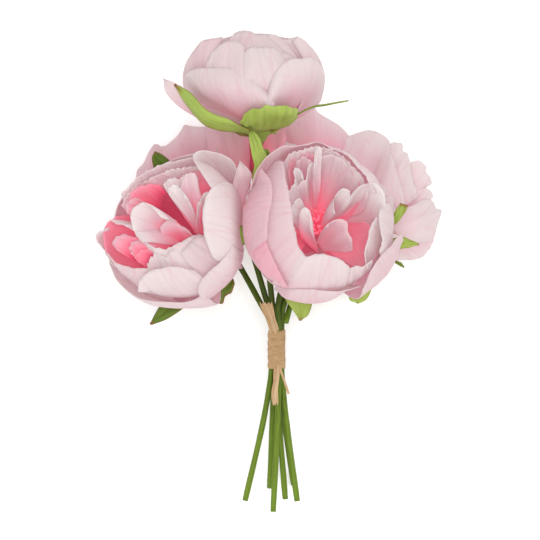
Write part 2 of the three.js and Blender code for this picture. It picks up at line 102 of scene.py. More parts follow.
# Stamens
STAMEN_COUNT = 44
STAMEN_TURN = 2.39996  # radians from one to the next
STAMEN_LEAN = 0.42
STAMEN_SPREAD = 3.2
STAMEN_HEIGHT = 15.5
STAMEN_RADIUS = 0.33
STAMEN_STEPS = 8
HEAD_RADIUS = 1.2
HEAD_STEPS = 7

# Rings of petals, from the outside in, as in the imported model. Its further rings inside the two front blooms
# are left out here, where measured petals take their place.
GUARD = dict(count=5, length=84, half=33, start=-3, end=116, root=7, rise=0.4, wrap=1, tuck=2.3,
             round=0.34, notch=0, ruffle=0.8, roll=-1, uneven=0.05)
SECOND = dict(count=5, length=80, half=30, start=7, end=128, root=6, rise=2.6, wrap=1, tuck=2.2,
              round=0.34, notch=0.05, ruffle=0.9, roll=1, uneven=0.05)
INNER = dict(count=4, length=54, half=16, start=42, end=110, root=5.5, rise=4, wrap=0.8, tuck=1.5,
             round=0.3, notch=0.2, ruffle=2, roll=-2, uneven=0.16)
CLOSING = dict(count=4, length=72, half=22, start=26, end=142, root=5.5, rise=4, wrap=1, tuck=2,
               round=0.36, notch=0.08, ruffle=1.2, roll=0, uneven=0.08)
FULL = [GUARD, SECOND]
PLAIN = [GUARD, SECOND, INNER]
CLOSED = [GUARD, SECOND, CLOSING]
RING_TURN = 37  # degrees from one ring to the next
PETAL_WIDEST = 0.7
PETAL_FOOT = 0.14
SEPAL = dict(length=48, half=11, start=-12, root=3, rise=-4, wrap=0.8, tuck=0.7, round=0.8, notch=0,
             ruffle=1, roll=-1, widest=0.62, foot=0.24, reach=1, crease=0.35, pleats=14)

# A bloom stands on its base, faces along facing and opens by open degrees. slot is its stem's place in the
# binding, above where the stem passes over it, and stem_end its cut end. sepals are the calyx's own, on the
# side to the table: the way each points, the tilt that it ends at and its length as a share of SEPAL's.
BLOOMS = [
    dict(name="top", centre=(-13, 162, 12), facing=(-0.08, 0.99, 0.06), spin=20, size=0.93, open=14,
         seed=11, rings=CLOSED, slot=(0, 0), above=(-2.8, 30, -0.5), stem_end=(5.4, -91, -1),
         sepals=[((0.5, 0, -0.9), 60, 1), ((-0.6, 0, -0.8), 60, 1)]),
    dict(name="left_front", centre=(-55, 71, 24), facing=(-0.52, 0.2, 0.83), spin=10, size=1.0, open=-4,
         seed=23, rings=FULL, slot=(-1, 0), above=(-9.8, 28, -1), stem_end=(-19, -92, -4), sepals=[]),
    dict(name="right_front", centre=(23, 75, 42), facing=(0.23, 0.27, 0.93), spin=40, size=1.02, open=-2,
         seed=37, rings=FULL, slot=(0.5, 0.87), above=(0.8, 26, 3.6), stem_end=(-2, -98, 10), sepals=[],
         lead=3, stamen_shift=(6, 5, 9)),
    dict(name="right_back", centre=(60, 92, -25.5), facing=(0.74, 0.5, -0.3), spin=5, size=0.88, open=2,
         seed=41, rings=PLAIN, slot=(1, 0), above=(4.6, 27, 1), stem_end=(12.6, -92, 4),
         spur=[(12.6, 39, -4.6), (9.2, 29, -3.6), (5.6, 16, 0.6)],
         sepals=[((0.3, -1, -0.3), 56, 1), ((0, 0, -1), 62, 1)]),
    dict(name="left_back", centre=(-50, 108, -29.5), facing=(-0.62, 0.62, -0.48), spin=30, size=0.86, open=2,
         seed=53, rings=PLAIN, slot=(-0.5, -0.87), above=(-6.2, 30, -4.6), stem_end=(-4, -85, -18.8),
         sepals=[((0.3, 0, -1), 62, 1), ((-0.6, -0.9, -0.6), 60, 1)]),
    dict(name="middle_back", centre=(16, 116, -32.5), facing=(0.35, 0.75, -0.56), spin=0, size=0.86, open=2,
         seed=67, rings=PLAIN, slot=(0.5, -0.87), above=(3.4, 30, -4.4), stem_end=(10.5, -83, -19.4),
         sepals=[((1, -0.2, -0.2), 62, 1), ((0.2, 0, -1), 62, 1), ((-1, 0, -0.4), 62, 1)]),
]

# The photograph's frame
PHOTO_SIDE = 540
PIXEL = 0.6
BINDING_PIXEL = (276.5, 350)
CAMERA_DISTANCE = 2400
FOCUS_DEPTH = 25
AIM = np.array([(PHOTO_SIDE / 2 - BINDING_PIXEL[0]) * PIXEL, (BINDING_PIXEL[1] - PHOTO_SIDE / 2) * PIXEL,
                FOCUS_DEPTH])

# Light and ground
WORLD_STRENGTH = 0.77
LIGHT_AIM = (0, 0.03, 0.05)
LIGHTS = [  # name, place, size and power
    ("key", (0.75, 0.55, 1.3), 0.7, 5.3),
    ("low", (-0.4, -1.3, 0.9), 0.9, 5.5),
    ("front", (0.05, -0.45, 1.7), 0.6, 11.3),
]
FLOOR_SIDE = 6.0  # metres from its middle to its edges


def seen(point, centre_z=0):
    """The bunch's point at a pixel (x, y) and a depth in front of centre_z."""
    x, y, depth = point
    z = centre_z + depth
    scale = PIXEL * (1 - (z - FOCUS_DEPTH) / CAMERA_DISTANCE)
    return np.array([AIM[0] + (x - PHOTO_SIDE / 2) * scale, AIM[1] - (y - PHOTO_SIDE / 2) * scale, z])


def wrapped(foot, wrap, flush, **more):
    """A measured petal that wraps round its bloom's ball, from the base to its rim."""
    return dict(more, foot=foot, wrap=wrap, flush=flush)


def bowed(foot, bow, flush, **more):
    """A measured petal that runs from its own foot to its rim, and bows out halfway."""
    return dict(more, foot=foot, bow=bow, flush=flush)


def sheet(bow, flush, **more):
    """A measured petal between two lines, base and rim or left and right, that bows out halfway."""
    return dict(more, bow=bow, flush=flush)


# Petals that the photograph shows, measured on it. Every point is a pixel (x, y) and a depth in
# millimetres in front of its bloom's middle. A bow is given in the same way. flush is how deep the pink
# is at the foot and at the rim.
LEFT_FOOT = (211, 242, -26)
RIGHT_FOOT = (303, 239, -29)
SHOWN = {
    "left_front": [
        wrapped(LEFT_FOOT, 1.1, (0.35, 0.12), rim=[
            (109, 262, -9), (114, 275, -2), (123, 287, 6), (135, 296, 11), (149, 301, 15), (168, 303, 17),
            (190, 301, 18), (205, 293, 18)]),
        wrapped(LEFT_FOOT, 1.0, (0.4, 0.14), ruffle=0.8, rim=[
            (105, 252, 12), (113, 261, 15), (124, 267, 18), (142, 268, 20), (160, 269, 22)]),
        wrapped(LEFT_FOOT, 0.94, (0.6, 0.1), ruffle=0.6, rim=[
            (109, 227, 15), (98, 231, 13), (96, 238, 10), (102, 250, 9), (112, 263, 10)]),
        wrapped(LEFT_FOOT, 0.98, (0.55, 0.2), ruffle=0.5, rim=[
            (108, 236, 6), (114, 220, 8), (121, 202, 9), (134, 188, 9), (150, 173, 9), (165, 163, 9),
            (180, 157, 9), (196, 153, 8)]),
        sheet((0, 0, 1), (0.5, 0.16), ruffle=0.2, dent=0.2,
             left=[(225, 222, 4), (231, 192, 12), (236, 172, 14), (239.8, 160.7, 15)],
             right=[(243, 224, 0), (245.5, 200, 4), (250, 181, 6), (252, 175, 9), (247.5, 168, 12),
                    (239.8, 160.7, 15)]),
        wrapped((225, 243, -26), 1.05, (0.45, 0.06), ruffle=0.3, curl=1.6, rim=[
            (200, 301, 15), (198, 288, 27), (208, 274, 33), (224, 261, 35), (236, 245, 32)]),
        wrapped((228, 236, -24), 0.98, (0.4, 0.05), curl=0.6, rim=[
            (212, 189, 31), (205, 177, 30), (198, 166, 26), (195.5, 154, 20), (204, 152, 20),
            (214, 153, 20), (227, 158, 19), (237, 167, 17), (243, 180, 15)]),
        wrapped((228, 236, -24), 1.02, (0.5, 0.0), ruffle=0.15, curl=1.2, rim=[
            (223, 181, 29), (211, 188, 33), (203, 204, 36), (202, 222, 37), (206, 242, 36), (215, 257, 31),
            (225, 260, 26)]),
        wrapped((214, 246, -24), 0.93, (0.4, 0.1), ruffle=0.5, crease=0.7, rim=[
            (180, 253, 26), (187, 245, 27), (195, 238, 27), (204, 234, 25)]),
        wrapped((205, 246, -24), 0.9, (0.45, 0.08), ruffle=0.9, crease=0.4, lobes=(6, 1.6), rim=[
            (147, 263, 23), (150, 257, 24), (155, 251, 25), (164, 254, 26), (170, 248, 27), (183, 246, 27)]),
        wrapped((213, 246, -24), 0.96, (0.35, 0.08), ruffle=0.5, crease=0.3, curl=2.2, rim=[
            (142, 293, 25), (142, 282, 28), (147, 275, 30), (160, 270, 31), (178, 268, 31), (196, 271, 28)]),
        bowed((190, 252, -4), (-5, 3, -9), (1.3, 0.5), rim=[
            (116, 216, 11), (106, 224, 11), (102, 237, 11), (105, 250, 11), (114, 261, 12), (130, 267, 13)]),
        bowed((166, 258, 5), (-4, 0, 4), (1.6, 0.3), fade=1.1, ruffle=0.8, crease=0.4, lobes=(4, 1.8), rim=[
            (117, 249, 15), (111, 242, 15), (116, 236, 16), (127, 234, 17), (135, 238, 17)]),
        bowed((172, 264, 7), (-4, 0, 4), (1.7, 0.32), fade=1.1, ruffle=0.8, crease=0.4, lobes=(4,
              1.8), rim=[
            (131, 253, 17), (128, 246, 17), (134, 240, 18), (147, 240, 19), (156, 246, 19)]),
        bowed((178, 262, 6), (-3, 1, 3), (1.6, 0.45), fade=1.1, ruffle=0.6, lobes=(3, 1.4), rim=[
            (140, 262, 16), (134, 256, 17), (140, 250, 18), (151, 250, 19), (160, 254, 18)]),
        bowed((192, 240, 0), (0, -5, 4), (0.7, 0.05), ruffle=0.8, lobes=(5, 1), rim=[
            (109, 221, 18), (117, 225, 20), (125, 226, 21), (133, 231, 22), (142, 242, 22)]),
        bowed((198, 236, 2), (-6, 2, -7), (1.8, 0.42), side=(0, 0.3), fade=1.1, ruffle=0.5, lobes=(4, 1.6),
              widest=0.8, rim=[
            (128, 204, 20), (130, 194, 21), (136, 188, 22), (146, 184, 22), (158, 184, 22)]),
        bowed((197, 238, 3), (-4, 0, -2), (1.1, 0.25), fade=0.8, rim=[
            (127, 213, 19), (126, 205, 20), (130, 200, 21), (138, 199, 21)]),
        bowed((189, 242, 4), (0, -4, 3), (1.1, 0.0), fade=1.4, ruffle=0.7, crease=0.4, lobes=(4, 1.2), rim=[
            (138, 238, 22), (131, 224, 24), (131, 211, 25), (140, 203, 25), (151, 207, 24), (160, 215, 23),
            (169, 221, 21)]),
        bowed((188, 246, 4), (0, 0, 4), (1.0, 0.25), ruffle=0.5, rim=[
            (160, 227, 20), (166, 221, 21), (173, 219, 21), (181, 225, 19), (191, 234, 15)]),
        bowed((192, 262, 6), (-3, 4, 7), (0.4, 0.06), ruffle=0.9, crease=0.4, lobes=(7, 1.4), rim=[
            (141, 241, 22), (152, 245, 24), (165, 248, 25), (177, 243, 25), (188, 237, 24), (199, 233, 20)]),
        bowed((199, 236, 2), (1, -1, 3), (0.6, 0.06), ruffle=0.7, lobes=(4, 1.4), narrow=0.1,
              widest=1.5, rim=[
            (161, 184, 18), (166, 179, 20), (173, 177, 21), (180, 178, 21), (184, 173, 21)]),
        bowed((199, 234, 5), (2, -2, 4), (0.5, 0.03), ruffle=0.6, lobes=(3, 1.5), narrow=0.1,
              widest=1.4, rim=[
            (168, 195, 24), (167, 187, 25), (173, 184, 26), (180, 188, 26), (186, 198, 25)]),
        bowed((201, 233, 3), (-1, 0, 6), (0.75, 0.12), side=(0, 0.3), ruffle=0.6, lobes=(5, 1.4), rim=[
            (181, 182, 23), (185, 174, 24), (191, 171, 24), (197, 175, 24), (200, 186, 22), (201, 198, 20)]),
        bowed((192, 216, -6), (-4, -4, -3), (0.6, 0.1), ruffle=0.9, lobes=(8, 1.6), rim=[
            (121, 193, 13), (132, 182, 14), (148, 171, 15), (166, 163, 15), (184, 158, 15), (198, 157, 15)]),
        bowed((198, 214, -2), (2, -2, 0), (0.9, 0.4), ruffle=0.9, lobes=(6, 1.4), rim=[
            (178, 180, 14), (186, 173, 15), (194, 170, 16), (203, 172, 16), (210, 180, 16)]),
        bowed((204, 238, 0), (-2, 0, 3), (0.85, 0.12), ruffle=0.6, lobes=(9, 1), rim=[
            (197, 214, 22), (199, 202, 24), (204, 194, 25), (210, 190, 26)]),
        bowed((186, 224, -5), (-2, -2, -3), (0.7, 0.14), ruffle=1.0, crease=0.5, lobes=(8, 1.6), rim=[
            (121, 205, 15), (127, 194, 16.5), (137, 185, 17.5), (149, 178, 18.5), (162, 174, 19)]),
        bowed((196, 220, -4), (0, -2, -3), (0.75, 0.12), ruffle=1.0, crease=0.5, lobes=(9, 1.6), rim=[
            (156, 176, 18), (167, 170.5, 18.5), (180, 167, 18.5), (193, 167, 18), (204, 172, 17)]),
    ],
    "right_front": [
        wrapped(RIGHT_FOOT, 1.09, (0.4, 0.14), ends=0.14, ruffle=0.5, rim=[
            (279, 283, 1), (284, 286.5, 10), (293, 288.5, 18), (306, 289.8, 22), (322, 290.5, 23),
            (342, 291, 22), (362, 286, 19)]),
        # The next two guards, on the side towards left_front, keep more pink up to their rims than the others:
        # painted shade, for that side of the bloom turned away from the light.
        wrapped(RIGHT_FOOT, 1.01, (0.3, 0.33), ruffle=0.3, crease=0.4, curl=0, rim=[
            (247, 203, 14), (256, 218, 22), (265, 238, 27), (272, 256, 28), (280, 272, 27), (288, 288, 24)]),
        wrapped(RIGHT_FOOT, 1.0, (0.4, 0.26), ruffle=0.3, crease=0.4, curl=0, rim=[
            (262, 168, 22), (271, 182, 28), (273, 197, 31), (269, 214, 32), (267, 240, 32)]),
        wrapped(RIGHT_FOOT, 1.0, (0.45, 0.2), ruffle=0.5, rim=[
            (252, 190, 8), (256, 173, 14), (266, 159, 20), (277, 150, 23), (286, 146, 24), (294, 147, 25),
            (308, 145, 26), (317, 142.5, 25), (323, 144, 25), (330, 149, 25), (342, 154, 24)]),
        wrapped(RIGHT_FOOT, 0.985, (0.45, 0.16), ruffle=0.6, lobes=(9, 0.8), rim=[
            (330, 150, 22), (340, 153, 23), (348, 157, 25), (356, 165, 26), (364, 178, 27), (374, 192, 27)]),
        wrapped(RIGHT_FOOT, 0.94, (0.45, 0.12), ruffle=0.5, rim=[
            (376, 217, 24), (369, 229, 28), (366, 244, 30), (365, 256, 30), (368, 268, 29)]),
        wrapped(RIGHT_FOOT, 1.05, (0.4, 0.12), ruffle=0.5, lobes=(11, 1), rim=[
            (381, 201, 19), (378, 213, 24), (380, 226, 27), (381, 238, 28), (379, 251, 28)]),
        wrapped(RIGHT_FOOT, 1.18, (0.4, 0.12), rim=[
            (401, 234, 11), (392, 244, 20), (380, 256, 27), (370, 271, 29), (362, 289, 24)]),
        wrapped(RIGHT_FOOT, 0.99, (0.45, 0.06), ruffle=0.5, crease=0.5, rim=[
            (298, 249, 30), (306, 256, 32), (318, 254, 34), (332, 256, 34), (342, 260, 34), (349, 269, 33)]),
        wrapped(RIGHT_FOOT, 0.96, (0.4, 0.1), crease=0.3, rim=[
            (345, 268, 31), (356, 267, 32), (366, 265, 31), (373, 260, 30)]),
        wrapped(RIGHT_FOOT, 0.99, (0.4, 0.17), crease=0.4, lobes=(17, 0.8), rim=[
            (283, 161, 22), (286, 176, 28), (290, 195, 32), (293, 213, 33), (296, 230, 33), (300, 247, 32),
            (305, 255, 31)]),
        bowed((318, 240, -9), (2, 2, -6), (0.7, 0.5), rim=[
            (356, 223, 9), (366, 223, 13), (375, 235, 16), (377, 250, 16), (371, 263, 15)]),
        bowed((322, 238, -8), (0, 0, -3), (0.7, 0.46), rim=[
            (344, 262, 13), (355, 267, 14), (366, 266, 14), (375, 256, 14)]),
        bowed((312, 232, -9), (-2, -4, -6), (0.75, 0.4), ruffle=0.6, rim=[
            (284, 176, 11), (290, 162, 12), (302, 152, 14), (316, 150, 15), (328, 152, 15)]),
        bowed((316, 230, -8), (3, -3, -5), (0.85, 0.5), ruffle=0.5, rim=[
            (325, 151, 14), (342, 158, 15), (355, 173, 16), (362, 188, 17)]),
        bowed((306, 240, -8), (-3, 0, -4), (0.85, 0.4), ruffle=0.5, rim=[
            (291, 250, 12), (287, 232, 13), (284, 210, 13), (285, 190, 13)]),
        bowed((322, 222, -10), (0, 0, -5), (0.8, 0.1), side=(0, 0.55), narrow=0.5, rim=[
            (316, 170, 21), (317, 161, 23), (323, 157, 24), (332, 155, 24), (344, 162, 24), (353, 174, 19),
            (360, 188, 13)]),
        bowed((315, 208, 2), (-1, 0, 4), (0.5, 0.0), ruffle=0.2, rim=[
            (315, 152, 28), (318, 146, 29), (322, 148, 28)]),
        bowed((314, 228, -4), (-1, 0, -3), (0.9, 0.1), lobes=(3, 1), rim=[
            (297, 190, 20), (300, 182, 22), (306, 180, 23), (309, 166, 25), (312, 161, 25), (315, 176, 22)]),
        bowed((312, 234, -4), (-2, 0, -2), (0.85, 0.0), ruffle=0.6, lobes=(9, 1.8), rim=[
            (287, 213, 24), (288, 199, 25), (291, 187, 26), (294, 178, 27), (295, 168, 28), (299, 169, 27),
            (300, 176, 25)]),
        bowed((312, 236, -2), (0, 0, 0), (0.8, 0.0), lobes=(4, 1), rim=[
            (290, 214, 26), (293, 206, 27), (298, 199, 28), (301, 201, 27)]),
        bowed((325, 226, -4), (2, 2, -2), (0.62, 0.0), narrow=0.4, widest=0.7, taper=4, rim=[
            (332, 215, 18), (333, 204, 21), (338, 194, 23), (344, 189, 24), (348.5, 191, 24),
            (349, 199, 22), (355, 193, 24), (364, 185, 25), (374, 183, 25), (383, 190, 25), (385, 203, 23),
            (380, 215, 19)]),
        bowed((319, 245, 3), (2, -2, 4), (0.45, 0.24), ruffle=0.3, narrow=0.3, widest=0.8, taper=4, rim=[
            (325, 229, 20), (332, 222, 23), (340, 219, 24), (347, 222, 24), (348, 232, 23), (352, 240, 22),
            (352, 248, 20)]),
        bowed((317, 252, 2), (-2, 1, 3), (0.75, 0.02), side=(0.6, 0), ruffle=0.2, rim=[
            (299, 221, 22), (300, 212, 24), (304, 207, 25), (308, 209, 25), (310, 221, 23)]),
        bowed((306, 216, -6), (0, 0, -3), (0.6, 0.16), ruffle=1.0, crease=0.5, lobes=(8, 1.5), rim=[
            (281, 168, 18), (287, 157, 21), (296, 150.5, 23), (306, 147.5, 24), (317, 146, 24)]),
        bowed((322, 216, -6), (0, 0, -3), (0.55, 0.12), ruffle=1.0, crease=0.5, lobes=(9, 1.4), rim=[
            (323, 147, 24.5), (334, 150.5, 24.5), (345, 157, 23.5), (354, 167, 22.5), (362, 180, 21),
            (370, 192, 19)]),
        bowed((308, 222, -6), (0, 0, -4), (0.8, 0.34), ruffle=1.1, crease=0.5, lobes=(7, 1.8), rim=[
            (287, 171, 17), (292, 160, 19), (299, 155, 21), (307, 152, 23), (314, 153, 23)]),
        bowed((318, 220, -6), (0, 0, -5), (0.75, 0.12), ruffle=1.1, crease=0.5, lobes=(9, 1.6), rim=[
            (320, 151, 24), (328, 151, 24), (337, 156, 23), (346, 165, 20), (353, 176, 16)]),
        bowed((310, 226, -6), (0, 0, -3), (0.8, 0.2), ruffle=0.9, crease=0.4, lobes=(6, 1.4), rim=[
            (296, 160, 22), (303, 156, 24), (310, 160, 25), (312, 170, 23)]),
    ],
    "right_back": [
        sheet((0, 0, 2), (0.36, 0.1), ruffle=1.3, lobes=(8, 1),
             base=[(392, 178, -6), (400, 195, -2), (408, 208, 0)],
             rim=[(406, 165, -10), (411.4, 161.7, -10), (420.6, 161.7, -11), (425.7, 165.8, -11),
                  (426.7, 170.9, -10), (432.3, 179.1, -10), (431.8, 185.2, -9), (427.5, 187.2, -8),
                  (432.9, 190.3, -9), (433.9, 195.4, -9), (432.3, 199, -8), (424, 203, -4)]),
        sheet((0, 0, 4), (0.36, 0.1), ruffle=1.3, dent=0.8, lobes=(8, 1),
             base=[(368, 165, 2), (380, 180, 8), (392, 195, 12), (402, 208, 10)],
             rim=[(386, 150, -8), (390, 143.4, -9), (397.1, 141.3, -9), (403.3, 143.4, -8),
                  (405.3, 149.5, -7), (409.4, 151.5, -6), (410.9, 158.7, -4), (410.8, 165, -3),
                  (411.6, 172, -2), (413.8, 183, -1), (418.6, 197, 0)]),
        sheet((0, 0, 8), (0.28, 0.08), ruffle=0.8, dent=1.1, ribs=(5, 0.35),
             base=[(334, 172, 6), (352, 190, 14), (372, 205, 20), (392, 214, 22), (404, 216, 18)],
             rim=[(330, 147, -6), (339, 139, -10), (348.2, 135.2, -13), (358.4, 133.2, -15),
                  (368.6, 131.6, -16), (380.8, 133.7, -14), (388, 138.3, -10), (390, 143.4, -4),
                  (391, 155.6, 8), (393.1, 162.8, 12), (397.1, 174, 16), (401.2, 186.2, 18), (404, 195, 18),
                  (407, 205, 15)]),
        sheet((0, 0, 4), (0.32, 0.1), ruffle=0.3,
             base=[(410, 236, 4), (400, 238, 8), (392, 238, 8), (386, 240, 6)],
             rim=[(434, 239.5, -8), (431, 247, -9), (423.7, 255.6, -10), (415.5, 259.7, -10),
                  (399.2, 260.2, -8), (386, 259, -8)]),
        sheet((3, 0, 9), (0.22, 0.06),
             base=[(399, 212, 18), (393, 220, 20), (393, 232, 18), (398, 243, 12)],
             rim=[(409, 210, 12), (413.5, 205.6, 8), (419.6, 200.5, 3), (429.8, 199, -2),
                  (434.9, 203.6, -5), (436.9, 208.7, -7), (442, 209.2, -9), (439, 221.9, -8),
                  (432.9, 239.3, -7), (426, 241.5, -1), (418, 242.8, 4), (406, 244, 9)]),
    ],
    "left_back": [
        sheet((-2, -3, 20), (0.45, 0.2), ruffle=0.5, dent=0.7,
             base=[(134, 212, -6), (160, 205, 2), (188, 195, 8), (216, 190, 8)],
             rim=[(128.5, 198, 0), (134, 182.7, 2), (136.3, 169.5, 2), (142.9, 162.9, 0),
                  (149.5, 151.9, -2), (156, 144, -4), (160.5, 146.3, -5), (171.5, 138.6, -6),
                  (179.2, 128.7, -8), (184.7, 123.7, -10), (190.2, 125.9, -10), (197.9, 127.2, -10),
                  (212, 126, -10)]),
        sheet((0, 0, 21), (0.55, 0.24), side=(0, 0.15), ribs=(6, 0.3),
             base=[(215, 198, 10), (226, 202, 12), (240, 198, 6), (250, 190, -4)],
             rim=[(207.5, 140, 8), (206, 134, 5), (206.7, 127, 1), (218, 124, 2), (230, 122, 0),
                  (243, 127, -5), (248.5, 138, -10), (249.3, 152, -10)]),
    ],
    "middle_back": [
        sheet((0, 0, 13), (0.5, 0.15), dent=0.6,
             base=[(286, 162, 14), (300, 165, 16), (315, 166, 16), (330, 165, 12), (346, 165, 4)],
             rim=[(284, 130, 0), (288, 119, -3), (298, 112, -5), (308, 108, -7), (314.2, 106.9, -8),
                  (316.5, 110.7, -9), (324.2, 116.1, -10), (335.6, 122.2, -11), (343.3, 129.1, -11),
                  (347.9, 135.2, -12), (353, 143, -12)]),
        sheet((0, 0, 12), (0.6, 0.28), side=(0.5, 0), ruffle=0.3, ribs=(2.2, -1.3),
             base=[(262, 172, 12), (270, 174, 16), (280, 170, 18), (290, 165, 17)],
             rim=[(261, 133, -2), (266, 127, 1), (275, 123, 2), (285, 123, 3), (288.5, 130, 5)]),
        # A deep crimson sheet in the gap between left_back and middle_back, below the top bloom: painted
        # shade, standing for the shadow down in that gap.
        sheet((0, 0, -2), (1.0, 1.0), ruffle=0.3,
             left=[(246, 178, -6), (246, 152, -6), (246, 127, -6)],
             right=[(264, 178, 0), (264, 152, -3), (264, 127, -4)]),
    ],
    "top": [
        wrapped((254, 124, -4), 0.94, (0.5, 0.12), ruffle=0.5, rim=[
            (198, 48, -4), (212, 41, -5), (232, 36, -7), (256, 34, -8), (282, 37, -8), (303, 42, -6),
            (316, 54, -5)]),
        wrapped((254, 124, -4), 0.86, (0.4, 0.06), ruffle=0.6, rim=[
            (229, 42, 12), (233, 35, 13), (238, 30.5, 12), (250, 32, 12), (264, 33, 9)]),
        wrapped((256, 124, -4), 0.84, (0.4, 0.06), ruffle=0.6, rim=[
            (260, 34, 8), (270, 34, 9), (279, 36, 11), (287, 39, 11), (292, 37, 10), (298, 36, 9)]),
        wrapped((250, 124, -4), 0.91, (0.4, 0.14), ruffle=0.6, rim=[
            (183, 84, -9), (183, 70, -2), (191, 53, 9), (200, 43, 14), (207, 39, 16), (215, 38, 18),
            (223, 36, 18)]),
        wrapped((262, 124, -4), 0.93, (0.4, 0.1), ruffle=0.5, rim=[
            (291, 40, 16), (297, 36, 15), (304, 40, 12), (312, 48, 8), (319, 57, 4), (323, 68, -1),
            (324, 82, -9)]),
        wrapped((248, 124, 2), 0.935, (0.4, 0.08), ruffle=0.5, crease=0.4, rim=[
            (208, 60, 24), (214, 50, 25), (224, 42, 25), (236, 40, 25), (245, 46, 26)]),
        wrapped((256, 124, 2), 0.935, (0.4, 0.05), ruffle=0.5, crease=0.4, rim=[
            (238, 56, 30), (248, 48, 29), (258, 46, 29), (270, 47, 28), (280, 52, 26), (286, 60, 25)]),
        wrapped((248, 127, 0), 1.01, (0.55, 0.1), ruffle=0.3, crease=0.2, dent=0.3, ribs=(6, 0.3), rim=[
            (197, 106, -16), (186, 92, -8), (183, 80, 3), (189, 71, 15), (199, 68, 24), (216, 67, 31),
            (230, 67, 34), (243, 70, 35), (253, 77, 36), (263, 88, 34), (270, 95, 30)]),
        wrapped((263, 126, 0), 1.015, (0.5, 0.08), ruffle=0.3, dent=0.3, rim=[
            (264, 98, 32), (268, 90, 35), (271, 80, 36), (277, 69, 36), (283, 63, 34), (292, 58, 31),
            (300, 58, 28), (311, 57, 22), (318, 61, 15), (323, 70, 6), (325, 81, -3), (319, 95, -12)]),
        sheet((0, 0, 2), (0.4, 0.16), ruffle=0.2, dent=0.2,
             left=[(240, 131, 4), (205, 122, 8), (191, 114.5, 8), (181, 108.4, 8), (172, 100.4, 8),
                   (165, 90.4, 8), (163, 78.5, 8)],
             right=[(240, 124, 4), (205, 105, 8), (190, 92, 9), (182, 86.5, 9), (174, 82.5, 9),
                    (168, 80, 8), (163, 78.5, 8)]),
    ],
}

# How far each bloom's rings are drawn in behind the petals that the photograph shows: their reach and scale
BEHIND = {
    "top": (1.0, 0.83),
    "left_front": (0.62, 0.94),
    "right_front": (0.62, 0.94),
    "right_back": (0.72, 0.78),
    "left_back": (0.72, 0.68),
    "middle_back": (0.72, 0.6),
}
RING_FLUSH = [(0.34, 0.14), (0.4, 0.14), (0.9, 0.25)]  # each ring's pink at the foot and at the rim
RING_FADE = 1.25  # above 1, the pink falls off faster near the foot
UNDER_FROM, UNDER_FULL = 0.4, 0.85  # where the rings keep their size: on the bloom's side to the table
WITH_WAYS = ("left_front", "right_front", "middle_back")  # blooms whose sepals need their hidden part
PETAL_STEP, SEPAL_STEP = 2.4, 1.7  # how far the waves shift from one measured petal or sepal to the next
UV_SPAN = 40  # millimetres of a petal to a unit of its UV map
SHOWN_CLEAR = 0.5  # between measured petals and a neighbouring bloom, and how softly they are pressed there
SHOWN_GIVE = 4

